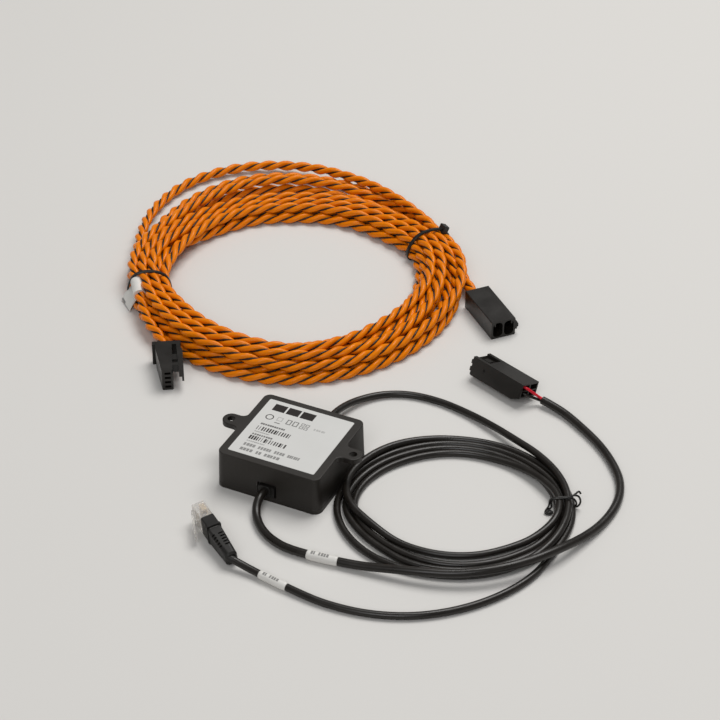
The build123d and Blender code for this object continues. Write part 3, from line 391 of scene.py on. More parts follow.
labelPrint = {
    # left, right, low, high in mm, ink strength; then for rows of bars pitch in mm, fill, spread, gap;
    # or the thickness in mm of an outline
    "blockA": (-20.4, -13.0, 16.1, 22.0, 1.0),
    "blockB": (-12.0, -4.6, 16.1, 22.0, 1.0),
    "blockC": (-3.6, 4.2, 16.1, 22.0, 1.0),
    "boxA": (-13.9, -10.6, 8.6, 12.0, 0.40, 0.45),
    "underline": (-13.9, -10.6, 6.3, 7.0, 0.75),
    "boxB": (-8.0, -5.2, 7.8, 12.0, 0.80, 0.55),
    "boxC": (-4.2, -1.2, 7.8, 12.0, 0.80, 0.55),
    "boxD": (0.2, 2.4, 10.2, 12.4, 0.70, 0.45),
    "boxE": (2.9, 5.1, 10.2, 12.4, 0.70, 0.45),
    "boxF": (0.2, 2.4, 7.4, 9.6, 0.70, 0.45),
    "boxG": (2.9, 5.1, 7.4, 9.6, 0.70, 0.45),
    "sideLine": (8.2, 14.8, 9.2, 10.8, 0.32, 1.5, 0.76, 0.3, 0.0),
    "lineOne": (-20.0, -5.6, 2.2, 3.6, 0.80, 1.35, 0.80, 0.3, 0.04),
    "stripesOne": (-20.2, -0.4, -2.9, 0.6, 0.98, 1.48, 0.50, 0.55, 0.0),
    "lineTwo": (-20.0, -11.0, -4.9, -4.0, 0.45, 1.1, 0.78, 0.3, 0.06),
    "lineThree": (-20.0, -8.0, -7.6, -6.3, 0.80, 1.35, 0.80, 0.3, 0.04),
    "stripesTwo": (-20.2, 1.6, -11.8, -8.4, 0.98, 1.48, 0.50, 0.55, 0.0),
    "lineFour": (-20.0, -9.3, -13.9, -13.0, 0.45, 1.1, 0.78, 0.3, 0.06),
    "lineFiveA": (-20.0, -13.0, -17.8, -15.4, 0.60, 1.75, 0.80, 0.22, 0.0),
    "lineFiveB": (-11.4, -3.4, -17.8, -15.4, 0.60, 1.60, 0.78, 0.22, 0.0),
    "lineFiveC": (-1.8, 4.4, -17.8, -15.4, 0.60, 1.55, 0.80, 0.22, 0.0),
    "lineFiveD": (6.0, 13.2, -17.8, -15.4, 0.60, 1.20, 0.80, 0.22, 0.0),
    "lineSixA": (-20.0, -12.4, -22.1, -19.7, 0.62, 1.90, 0.80, 0.22, 0.0),
    "lineSixB": (-10.6, -7.4, -22.1, -19.7, 0.62, 1.60, 0.78, 0.22, 0.0),
    "lineSixC": (-5.6, 3.4, -22.1, -19.7, 0.62, 1.80, 0.80, 0.22, 0.0),
}


labelValues = {
    "ring": (-18.3, 9.9),       # middle of the round mark, mm
    "ringFrom": 1.75,
    "ringTo": 2.35,
    "ringInk": 0.95,
    "seedStep": 17.0,
    "paper": ((0.62, 0.62, 0.605), (0.59, 0.59, 0.575)),
    "ink": (0.012, 0.009, 0.008),
    "specular": 0.3,
    "rough": (0.38, 0.48),
    "fine": 1800.0,
    "patch": 45.0,
    "bump": 0.12,
    "depth": 0.00003,
}


def fieldMask(tree, x, y, left, right, low, high):
    field = useGroup(tree, fieldGroup, X=x, Y=y, Left=left, Right=right, Low=low, High=high)
    return field.outputs["Mask"]


def barMask(tree, x, left, pitch, fill, spread, seed, gap):
    along = mathNode(tree, "SUBTRACT", x, left)
    bars = useGroup(tree, dashGroup, Along=along, Pitch=pitch, Fill=fill, Spread=spread, Seed=seed, Gap=gap)
    return bars.outputs["Mask"]


def labelMaterial(values):
    # white film; a block of the print is a field mask, an outline is a field less the field inside it,
    # a row is a field times bars, and the round mark is a ring: radius between two values
    material, tree, surface = newMaterial("labelFilm")
    vector = objectVector(tree)
    split = tree.nodes.new("ShaderNodeSeparateXYZ")
    tree.links.new(vector, split.inputs[0])
    x = mathNode(tree, "MULTIPLY", split.outputs["X"], 1 / mm)
    y = mathNode(tree, "MULTIPLY", split.outputs["Y"], 1 / mm)
    dx, dy = (mathNode(tree, "SUBTRACT", place, middle) for place, middle in zip((x, y), values["ring"]))
    dx2, dy2 = mathNode(tree, "MULTIPLY", dx, dx), mathNode(tree, "MULTIPLY", dy, dy)
    radius = mathNode(tree, "SQRT", mathNode(tree, "ADD", dx2, dy2))
    within = mathNode(tree, "LESS_THAN", radius, values["ringTo"])
    ring = mathNode(tree, "MULTIPLY", within, mathNode(tree, "GREATER_THAN", radius, values["ringFrom"]))
    ink = mathNode(tree, "MULTIPLY", ring, values["ringInk"])
    for number, (left, right, low, high, strength, *more) in enumerate(labelPrint.values()):
        mask = fieldMask(tree, x, y, left, right, low, high)
        if len(more) == 1:
            edge = more[0]
            inside = fieldMask(tree, x, y, left + edge, right - edge, low + edge, high - edge)
            mask = mathNode(tree, "SUBTRACT", mask, inside)
        elif more:
            pitch, fill, spread, gap = more
            bars = barMask(tree, x, left, pitch, fill, spread, number * values["seedStep"], gap)
            mask = mathNode(tree, "MULTIPLY", mask, bars)
        ink = mathNode(tree, "MAXIMUM", ink, mathNode(tree, "MULTIPLY", mask, strength))
    surface.inputs["Specular IOR Level"].default_value = values["specular"]
    finishFilm(tree, surface, ink, values)
    return material


def finishFilm(tree, surface, ink, values):
    # colour goes from paper, itself two tones by slow patches, to ink by the print's mask
    film = useGroup(tree, grain, Vector=objectVector(tree), Fine=values["fine"], Patch=values["patch"])
    patches = film.outputs["Patches"]
    paper = mixColor(tree, patches, *values["paper"])
    tree.links.new(mixColor(tree, ink, paper, values["ink"]), surface.inputs["Base Color"])
    tree.links.new(mapRange(tree, patches, 0.0, 1.0, *values["rough"]), surface.inputs["Roughness"])
    addBump(tree, surface, film.outputs["Height"], values["bump"], values["depth"])


materials["labelFilm"] = labelMaterial(labelValues)

sleeveValues = {
    # u runs along the cable from 0 to 1, v round it; a row is (u from, u to, v from, v to, pitch
    # of its bars, share of the pitch that a bar fills)
    "rows": {
        "sleeveFilm": [(0.14, 0.30, 0.205, 0.335, 0.08, 0.72), (0.385, 0.72, 0.205, 0.335, 0.084, 0.74)],
        "flagFilm": [(0.04, 0.42, 0.0, 0.026, 1.0, 1.3)],
    },
    "strength": 0.72,
    "spread": 0.25,
    "seedStep": 9.0,
    "seedFirst": 3.0,
    "paper": ((0.71, 0.70, 0.67), (0.65, 0.64, 0.61)),
    "ink": (0.03, 0.03, 0.032),
    "rough": (0.34, 0.44),
    "fine": 1500.0,
    "patch": 160.0,
    "bump": 0.15,
    "depth": 0.00004,
}


def sleeveMaterial(name, values):
    # white film; each row of the print is a field of the UV map times bars
    material, tree, surface = newMaterial(name)
    split = tree.nodes.new("ShaderNodeSeparateXYZ")
    tree.links.new(objectVector(tree, uv=True), split.inputs[0])
    u, v = split.outputs["X"], split.outputs["Y"]
    ink = None
    for number, (left, right, low, high, pitch, fill) in enumerate(values["rows"][name]):
        mask = fieldMask(tree, u, v, left, right, low, high)
        seed = number * values["seedStep"] + values["seedFirst"]
        bars = barMask(tree, u, left, pitch, fill, values["spread"], seed, 0.0)
        mask = mathNode(tree, "MULTIPLY", mask, bars)
        mask = mathNode(tree, "MULTIPLY", mask, values["strength"])
        ink = mask if ink is None else mathNode(tree, "MAXIMUM", ink, mask)
    finishFilm(tree, surface, ink, values)
    return material


for name in sleeveValues["rows"]:
    materials[name] = sleeveMaterial(name, sleeveValues)
print("materials:", len(materials))


def link(obj, material):
    bpy.context.collection.objects.link(obj)
    obj.data.materials.append(materials[material])
    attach(obj, body)
    return obj


def meshPiece(name, mesh, material):
    return link(bpy.data.objects.new(name, mesh), material)


def addSpline(curve, points, each):
    # one open spline; the route's points, in metres, are its control points
    spline = curve.splines.new("NURBS")
    spline.points.add(len(points) - 1)
    spline.points.foreach_set("co", np.c_[points, np.ones(len(points))].ravel())
    spline.order_u = 3
    spline.use_endpoint_u = True
    spline.resolution_u = each


def cordCurve(name, points, diameter, each, rounding=5):
    # a round section carried along one spline
    curve = bpy.data.curves.new(name, "CURVE")
    curve.dimensions = "3D"
    curve.resolution_u = each
    curve.render_resolution_u = each
    addSpline(curve, points, each)
    if diameter:
        curve.bevel_depth = diameter / 2
        curve.bevel_resolution = rounding
        curve.use_fill_caps = True
    return bpy.data.objects.new(name, curve)


def splineLine(points, each):
    # the points that Blender works out along that spline, read from a curve with no bevel
    obj = cordCurve("lineReader", points, 0.0, each)
    mesh = bpy.data.meshes.new_from_object(obj)
    line = np.empty(len(mesh.vertices) * 3)
    mesh.vertices.foreach_get("co", line)
    bpy.data.meshes.remove(mesh)
    curve = obj.data
    bpy.data.objects.remove(obj)
    bpy.data.curves.remove(curve)
    line = line.reshape(-1, 3)
    keep = np.r_[True, np.linalg.norm(np.diff(line, axis=0), axis=1) > 1e-6]    # no doubled points
    return line[keep]


def evenLine(line, step):
    # the same line with points at even distances along it
    gone = np.r_[0.0, np.cumsum(np.linalg.norm(np.diff(line, axis=0), axis=1))]
    marks = np.linspace(0.0, gone[-1], max(2, int(round(gone[-1] / step)) + 1))
    return np.stack([np.interp(marks, gone, line[:, k]) for k in range(3)], 1), marks


def lineLength(line):
    return float(np.linalg.norm(np.diff(line, axis=0), axis=1).sum())


def lineFrames(line):
    # tangent by central differences, side level and square to it, lift square to both
    tangent = np.gradient(line, axis=0)
    tangent /= np.linalg.norm(tangent, axis=1)[:, None]
    side = np.cross((0.0, 0.0, 1.0), tangent)
    side /= np.linalg.norm(side, axis=1)[:, None]
    return tangent, side, np.cross(tangent, side)


def tubeMesh(name, centres, side, lift, radius, around, uv=False):
    # rings of points: centre + radius (cos a side + sin a lift); radius may differ from ring to ring
    a = np.linspace(0.0, 2 * math.pi, around, endpoint=False)[None, :, None]
    radius = np.broadcast_to(radius, (len(centres),))[:, None, None]
    ring = centres[:, None] + radius * (np.cos(a) * side[:, None] + np.sin(a) * lift[:, None])
    return gridMesh(name, ring, uv)


def gridMesh(name, ring, uv=False):
    # quads between neighbouring rings, and one face that closes each end
    rings, around = ring.shape[:2]
    first = np.arange(rings - 1)[:, None] * around + np.arange(around)[None]
    follow = np.arange(rings - 1)[:, None] * around + (np.arange(around)[None] + 1) % around
    quads = np.stack([first, follow, follow + around, first + around], -1).reshape(-1, 4)
    faces = quads.tolist()
    faces.append(list(range(around))[::-1])
    faces.append(list(range((rings - 1) * around, rings * around)))
    mesh = bpy.data.meshes.new(name)
    mesh.from_pydata(ring.reshape(-1, 3).tolist(), [], faces)
    if uv:
        # u is the ring's share of all rings, v the point's share of its ring; v is 1 where a
        # quad closes the ring
        layer = mesh.uv_layers.new(name="UVMap")
        corner = np.empty(len(mesh.loops), dtype=np.int64)
        mesh.loops.foreach_get("vertex_index", corner)
        u = (corner // around) / (rings - 1)
        v = (corner % around) / around
        place = np.arange(len(corner))
        v[(place < len(quads) * 4) & (corner % around == 0) & np.isin(place % 4, (1, 2))] = 1.0
        layer.data.foreach_set("uv", np.c_[u, v].ravel().astype(np.float32))
    mesh.polygons.foreach_set("use_smooth", np.ones(len(mesh.polygons), dtype=bool))
    mesh.update()
    return mesh


def joinMeshes(name, meshes, kinds):
    # one mesh of several, by stacking their points and shifting their faces' point numbers; kinds
    # gives each one's material number
    points, faces, numbers, start = [], [], [], 0
    for mesh, kind in zip(meshes, kinds):
        co = np.empty(len(mesh.vertices) * 3)
        corner = np.empty(len(mesh.loops), dtype=np.int32)
        sides = np.empty(len(mesh.polygons), dtype=np.int32)
        mesh.vertices.foreach_get("co", co)
        mesh.loops.foreach_get("vertex_index", corner)
        mesh.polygons.foreach_get("loop_total", sides)
        points.append(co.reshape(-1, 3))
        faces += np.split(corner + start, np.cumsum(sides)[:-1])
        numbers.append(np.full(len(sides), kind, dtype=np.int32))
        start += len(mesh.vertices)
        bpy.data.meshes.remove(mesh)
    mesh = bpy.data.meshes.new(name)
    mesh.from_pydata(np.vstack(points).tolist(), [], [face.tolist() for face in faces])
    mesh.polygons.foreach_set("use_smooth", np.ones(len(mesh.polygons), dtype=bool))
    mesh.polygons.foreach_set("material_index", np.concatenate(numbers))
    mesh.update()
    return mesh


def turnPoints(values):
    # a pass of the coil at each section has its own radius and height; between sections both
    # change evenly, and a running mean of the given width in degrees rounds the changes
    first, last, perTurn, blur = (values["turns"][key] for key in ("first", "last", "perTurn", "blur"))
    marks, radii, heights = [], [], []
    for angle, slots in values["sections"].items():
        for k, slot in enumerate(slots):
            if slot:
                marks.append(k * 360 + (values["start"] - angle) % 360)
                radii.append(slot[0])
                heights.append(slot[1])
    order = np.argsort(marks)
    marks, radii, heights = (np.array(v)[order] for v in (marks, radii, heights))
    fine = np.arange(first - blur, last + blur + 1.0)
    weight = np.hanning(2 * blur + 1)
    weight /= weight.sum()
    radius = np.convolve(np.interp(fine, marks, radii), weight, "valid")
    height = np.convolve(np.interp(fine, marks, heights), weight, "valid")
    turn = np.linspace(first, last, int(round((last - first) * perTurn / 360)) + 1)
    at = np.interp(turn, fine[blur:len(fine) - blur], np.arange(len(radius)))
    r = np.interp(at, np.arange(len(radius)), radius)
    z = np.interp(at, np.arange(len(radius)), height)
    angle = np.radians(values["start"] - turn)
    x, y = values["centre"]
    return np.stack([x + r * np.cos(angle), y + r * np.sin(angle), z], 1)


settleValues = {
    "samples": 8,           # on each span of the spline
    "skip": 3,              # spans along the cord between two samples before they count as a pair
    "renew": 15,            # rounds between searches for pairs
    # lengths in diameters of the cord
    "search": 1.8,          # pairs this near are watched
    "beside": 0.4,          # furthest apart along the cord for a push
    "least": 0.03,          # smallest gap that a push is divided by
    "tieSpacing": 0.89,     # spacing where a tie squeezes the turns
    # lengths in mm
    "tieReach": 14.0,       # each side of a tie's plane
    "tieNear": 5.0,         # each side of a tie's plane, where its outline holds the turns
    "tieSpan": 26.0,        # from the tie's middle, along the floor
    "tieSlack": 0.1,
    # shares
    "tiePull": 3.0,
    "stiffness": 0.12,      # of the bend that a round has added, taken back
    "keep": 0.02,           # of the way back to the drawn route, each round
    "gain": 1.2,
}


def settleTurns(points, cord, ties=()):
    # strands nearer than a diameter push each other apart and off the floor; every control point
    # moves by the pushes of the spline samples that it steers, and is drawn back a little each round
    values = settleValues
    diameter, each = cord["settle"], values["samples"]
    t = (np.arange(each) + 0.5) / each
    weights = np.stack([(1 - t) ** 2 / 2, 0.5 + t * (1 - t), t ** 2 / 2], 1)
    start, points = points.copy(), points.copy()
    spans = len(points) - 2
    total = spans * each
    owner = np.arange(total) // each
    share = np.tile(weights, (spans, 1))
    sums = np.zeros(len(points))
    for k in range(3):
        np.add.at(sums, owner + k, share[:, k])
    free = np.zeros((len(points), 1))
    free[cord["fixed"][0]:len(points) - cord["fixed"][1]] = 1.0
    bend = np.zeros_like(points)
    bend[1:-1] = (start[:-2] + start[2:]) / 2 - start[1:-1]
    floor = diameter / 2
    reach = np.full(total, float(diameter))
    for step in range(cord["rounds"]):
        samples = sum(points[owner + k] * share[:, k:k + 1] for k in range(3))
        for at, out, normal, outline in ties:
            beside = np.linalg.norm(samples[:, :2] - at[:2], axis=1) < values["tieSpan"]
            beside &= np.abs((samples - at) @ normal) < values["tieReach"]
            reach[beside] = values["tieSpacing"] * diameter
        if step % values["renew"] == 0:
            near = nearPairs(samples, values["search"] * diameter)
            one, two = near[near[:, 1] - near[:, 0] > values["skip"] * each].T
        ahead = np.gradient(samples, axis=0)
        ahead /= np.linalg.norm(ahead, axis=1)[:, None]
        both = ahead[one] + ahead[two] * np.sign((ahead[one] * ahead[two]).sum(1))[:, None]
        both /= np.maximum(np.linalg.norm(both, axis=1), 1e-9)[:, None]
        apart = samples[one] - samples[two]
        along = (apart * both).sum(1)
        apart -= along[:, None] * both
        gap = np.linalg.norm(apart, axis=1)
        need = np.minimum(reach[one], reach[two])
        hit = (np.abs(along) < values["beside"] * diameter) & (gap < need)
        divisor = np.maximum(gap[hit], values["least"] * diameter)[:, None]
        force = apart[hit] / divisor * ((need[hit] - gap[hit]) / 2)[:, None]
        push, count = np.zeros_like(samples), np.zeros(total)
        np.add.at(push, one[hit], force)
        np.add.at(push, two[hit], -force)
        np.add.at(count, one[hit], 1)
        np.add.at(count, two[hit], 1)
        push /= np.maximum(count, 1)[:, None]
        for at, out, normal, outline in ties:
            # strands that pass a tie stay inside its outline: the furthest side gives the lack
            apart = samples - at
            close = np.abs(apart @ normal) < values["tieNear"]
            close &= np.linalg.norm(apart[:, :2], axis=1) < values["tieSpan"]
            flat = np.stack([apart[close] @ out, apart[close][:, 2]], 1)
            ahead = np.roll(outline, -1, 0) - outline
            away = np.stack([ahead[:, 1], -ahead[:, 0]], 1) / np.linalg.norm(ahead, axis=1)[:, None]
            lack = flat @ away.T - (outline * away).sum(1) + floor - values["tieSlack"]
            worst = lack.argmax(1)
            pull = -np.maximum(lack[np.arange(len(flat)), worst], 0.0)[:, None] * away[worst]
            push[close] += values["tiePull"] * (pull[:, :1] * out + pull[:, 1:] * np.array((0.0, 0.0, 1.0)))
        push[:, 2] += np.maximum(floor - samples[:, 2] - push[:, 2], 0.0)
        move = np.zeros_like(points)
        for k in range(3):
            np.add.at(move, owner + k, push * share[:, k:k + 1])
        move *= values["gain"] / sums[:, None]
        kink = np.zeros_like(points)
        kink[1:-1] = (points[:-2] + points[2:]) / 2 - points[1:-1]
        move += values["stiffness"] * (kink - bend) + values["keep"] * (start - points)
        points += move * free
        points[:, 2] = np.maximum(points[:, 2], np.where(free[:, 0] > 0, floor, points[:, 2]))
    return points


def nearPairs(samples, distance, rows=256):
    # numbers of all pairs of samples nearer than the distance, worked out some rows at a time
    parts = []
    for a in range(0, len(samples), rows):
        gap = np.linalg.norm(samples[a:a + rows, None] - samples[None], axis=2)
        parts.append(np.argwhere(gap < distance) + (a, 0))
    return np.vstack(parts)


# lead with its sleeve; lengths in mm
leadValues = {
    "diameter": 4.7,
    "each": 8,              # faces along each span of the route
    "readEach": 12,         # points read on each span
    "route": [
        (-1.0, -31.055, 6.8), (-1.0, -36.0, 6.8), (-0.2, -41.2, 4.4), (2.6, -46.6, 2.55),
        (8.4, -53.2, 2.35), (17.6, -59.4, 2.35), (31.5, -63.4, 2.8), (66.0, -59.9, 3.0),
        (84.0, -57.0, 5.2), (100.5, -53.8, 6.9), (116.5, -48.8, 7.4), (132.5, -39.6, 8.6),
        (147.2, -25.2, 8.8), (157.0, -8.5, 7.8), (163.8, 9.5, 4.2), (168.4, 27.5, 2.35),
        (169.4, 46.0, 2.35), (165.4, 61.5, 2.35), (156.6, 75.0, 2.35), (143.2, 88.9, 2.35),
        (125.6, 101.3, 2.35), (112.0, 108.9, 2.9), (100.4, 111.4, 4.0),
    ],
    "sleeveFrom": (31.5, -63.4, 2.8),
    "sleeveTo": (66.0, -59.9, 3.0),
}

sleeveForm = {
    "length": 17.5,
    "wall": 0.35,
    "step": 0.5,
    "around": 32,
    "endShare": 0.97,       # of the cable's radius, at the two turned-in ends
    "endRings": 2.0,
}


def sleeveMesh(name, line, values, form):
    # a thin tube round the cable, centred between two points of its route; radius rises from just
    # inside the cable to the wall's outside over the first rings, and falls the same way
    even, marks = evenLine(line, form["step"] * mm)
    middle = (np.array(values["sleeveFrom"]) + np.array(values["sleeveTo"])) / 2 * mm
    centre = marks[np.argmin(np.linalg.norm(even - middle, axis=1))]
    half = form["length"] * mm / 2
    part = even[(marks > centre - half) & (marks < centre + half)]
    _, side, lift = lineFrames(part)
    inner = values["diameter"] * mm / 2
    outer = inner + form["wall"] * mm
    number = np.arange(len(part))
    swell = np.minimum(1.0, np.minimum(number, number[::-1]) / form["endRings"])
    radius = inner * form["endShare"] + (outer - inner * form["endShare"]) * np.sqrt(swell)
    return tubeMesh(name, part, side, lift, radius, form["around"], uv=True)


leadPoints = np.array(leadValues["route"]) * mm
leadLine = splineLine(leadPoints, leadValues["readEach"])
leadCurve = cordCurve("leadCable", leadPoints, leadValues["diameter"] * mm, leadValues["each"])
leadCable = link(leadCurve, "cableJacket")
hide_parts("lead_cable")
leadTube = sleeveMesh("leadSleeve", leadLine, leadValues, sleeveForm)
leadSleeve = meshPiece("leadSleeve", leadTube, "sleeveFilm")
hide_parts("lead_sleeve")
print("lead:", round(lineLength(leadLine), 3), "m")


# data cable with its coil; lengths in mm
dataValues = {
    "diameter": 4.0,
    "each": 6,
    "readEach": 10,
    "settle": 3.9,          # turns settle at this spacing
    "fixed": (10, 10),      # control points held at the start and at the end
    "rounds": 120,
    "quickRounds": 120,
    "turns": {"first": 6.0, "last": 4 * 360 + 62.0, "perTurn": 18, "blur": 8},      # degrees; points a turn
    "rear": [
        (1.6, 30.574, 6.8), (1.6, 43.5, 6.8), (3.0, 57.0, 5.2), (7.6, 69.5, 3.2), (16.4, 80.4, 2.2),
        (30.0, 87.2, 2.0), (48.5, 88.3, 2.0), (67.5, 84.2, 2.4), (84.5, 77.9, 3.6), (98.6, 71.4, 4.6),
    ],
    "tail": [
        (153.2, -6.0, 2.0), (151.4, -26.5, 2.0), (142.6, -47.0, 2.0), (128.6, -65.6, 2.0),
        (109.8, -80.6, 2.0), (88.0, -89.3, 2.0), (65.5, -91.7, 2.0), (48.5, -90.2, 2.45),
        (19.6, -85.6, 3.0), (10.2, -85.0, 5.2),
    ],
    "centre": (93.0, 8.0),
    "start": 71.5,
    # at each angle, the radius and height of every pass of the coil
    "sections": {
        66: [(60.0, 5.6), (54.0, 2.0), (49.8, 2.0), (47.6, 2.6), (58.2, 2.0)],
        50: [(59.6, 5.6), (55.8, 2.0), (51.8, 2.0), (49.6, 4.6), (59.8, 2.0)],
        36: [(59.6, 5.5), (57.2, 2.0), (53.3, 2.0), (54.2, 5.4), (61.0, 2.0)],
        22: [(59.6, 5.4), (57.9, 2.0), (54.3, 2.0), (56.1, 5.4), (61.5, 2.0)],
        8: [(59.0, 5.4), (58.0, 2.0), (54.4, 2.0), (55.4, 5.2), (61.8, 2.0)],
        350: [(59.0, 5.0), (57.2, 2.0), (53.2, 2.0), (49.8, 2.4)],
        335: [(59.0, 3.6), (54.8, 2.0), (50.6, 2.0), (44.8, 2.0)],
        320: [(58.0, 2.4), (53.8, 2.0), (49.4, 2.0), (43.0, 2.0)],
        290: [(57.3, 2.0), (53.2, 2.0), (49.0, 2.0), (41.8, 2.0)],
        266: [(59.2, 2.0), (54.4, 2.0), (48.6, 2.0), (42.6, 2.0)],
        245: [(62.2, 2.0), (53.4, 2.0), (49.4, 2.0), (45.3, 2.0)],
        232: [(63.3, 2.0), (55.0, 2.0), (51.0, 2.0), (47.6, 3.6)],
        220: [(64.2, 2.0), (57.8, 2.0), (53.6, 2.0), (52.4, 5.6)],
        208: [(64.8, 2.0), (60.2, 2.0), (55.4, 2.0), (58.4, 5.8)],
        196: [(63.2, 2.0), (58.9, 2.0), (54.6, 2.0), (61.3, 5.7)],
        185: [(61.2, 2.0), (57.0, 2.0), (52.6, 2.0), (61.2, 5.7)],
        170: [(58.8, 2.0), (54.6, 2.0), (49.8, 2.0), (59.8, 5.7)],
        150: [(55.8, 2.0), (51.4, 2.0), (46.6, 2.0), (58.8, 4.8)],
        130: [(54.0, 2.0), (49.8, 2.0), (45.2, 2.0), (57.8, 3.0)],
        112: [(53.0, 2.0), (49.0, 2.0), (45.0, 2.0), (57.0, 2.0)],
        90: [(53.0, 2.0), (49.0, 2.0), (45.0, 2.0), (57.2, 2.0)],
    },
    "sleeveFrom": (48.5, -90.2, 2.45),
    "sleeveTo": (19.6, -85.6, 3.0),
}
dataPoints = np.vstack([dataValues["rear"], turnPoints(dataValues), dataValues["tail"]])
dataPoints = settleTurns(dataPoints, dataValues) * mm
dataLine = splineLine(dataPoints, dataValues["readEach"])
dataCurve = cordCurve("dataCable", dataPoints, dataValues["diameter"] * mm, dataValues["each"])
dataCable = link(dataCurve, "cableJacket")
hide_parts("data_cable_rear", "data_coil", "data_cable_tail")
dataTube = sleeveMesh("dataSleeve", dataLine[::-1], dataValues, sleeveForm)
dataSleeve = meshPiece("dataSleeve", dataTube, "sleeveFilm")
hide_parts("data_sleeve")
print("data cable:", round(lineLength(dataLine), 3), "m")


# zip ties and paper flag; lengths in mm
tieValues = {
    # at and turn place the upright plane, turn in degrees; outline is (across, height) in that
    # plane; a head's block has its size, its shift from the head's middle and its bevel
    "left": {
        "at": (-153.5, 111.5, 0.0), "turn": 213.0, "width": 2.3, "thick": 1.0,
        "outline": [
            (-13.4, 3.0), (-13.0, 8.4), (-11.2, 13.6), (-8.0, 16.2), (-4.2, 17.5), (-0.8, 18.0),
            (2.6, 18.0), (6.2, 17.0), (9.8, 13.8), (11.8, 8.0), (12.0, 3.8), (10.0, 1.1), (0.0, 1.0),
            (-10.8, 1.1),
        ],
    },
    "right": {
        "at": (-22.0, 224.8, 0.0), "turn": 54.0, "width": 2.4, "thick": 1.0,
        "outline": [
            (12.6, 14.4), (9.2, 16.6), (4.6, 17.5), (0.2, 17.5), (-4.1, 16.9), (-7.6, 15.1), (-10.6, 11.6),
            (-12.6, 7.8), (-13.0, 4.0), (-11.0, 1.1), (0.0, 1.0), (11.6, 1.1), (15.0, 3.4), (16.2, 7.0),
            (15.2, 11.4),
        ],
        "head": {
            "at": (12.5, 16.0), "lean": -26.0,
            "blocks": [
                ((3.9, 5.4, 5.0), (0.0, 0.0, 0.0), 0.4),
                ((1.0, 3.0, 1.3), (-2.1, 0.0, -0.2), 0.15),
            ],
        },
    },
}

# the strap's section, in half widths and thicknesses
strapProfile = [(-1.0, 0.0), (1.0, 0.0), (1.0, 0.55), (0.7, 1.0), (-0.7, 1.0), (-1.0, 0.55)]

flagValues = {
    "at": (-155.6, 101.9, 11.7),
    "length": 13.5,
    "step": 0.5,
    "radius": 3.85,
    "pinch": 7.0,           # degrees each side of the flap where the wrap begins
    "edge": ((-166.4, 101.4, 1.2), (-155.6, 92.4, 0.6)),
    "wrapPoints": 25,
    "flapPoints": 9,
    "bow": 0.5,
    "half": 0.1,            # half the paper's thickness at the flap's edge
    "crease": 50.0,         # degrees from which an edge stays sharp
}


def tieFrame(values):
    # the plane's origin, the level direction in it and its normal, and the outline with every
    # corner cut three times at the quarter points of its sides
    a = math.radians(values["turn"])
    outline = np.array(values["outline"])
    for _ in range(3):
        follow = np.roll(outline, -1, 0)
        near, far = 0.75 * outline + 0.25 * follow, 0.25 * outline + 0.75 * follow
        outline = np.stack([near, far], 1).reshape(-1, 2)
    # outwards is to the right of the outline's run, so it runs anticlockwise
    twice = (outline[:, 0] * np.roll(outline[:, 1], -1) - np.roll(outline[:, 0], -1) * outline[:, 1]).sum()
    if twice < 0:
        outline = outline[::-1]
    out, normal = np.array((math.cos(a), math.sin(a), 0.0)), np.array((-math.sin(a), math.cos(a), 0.0))
    return np.array(values["at"]), out, normal, outline


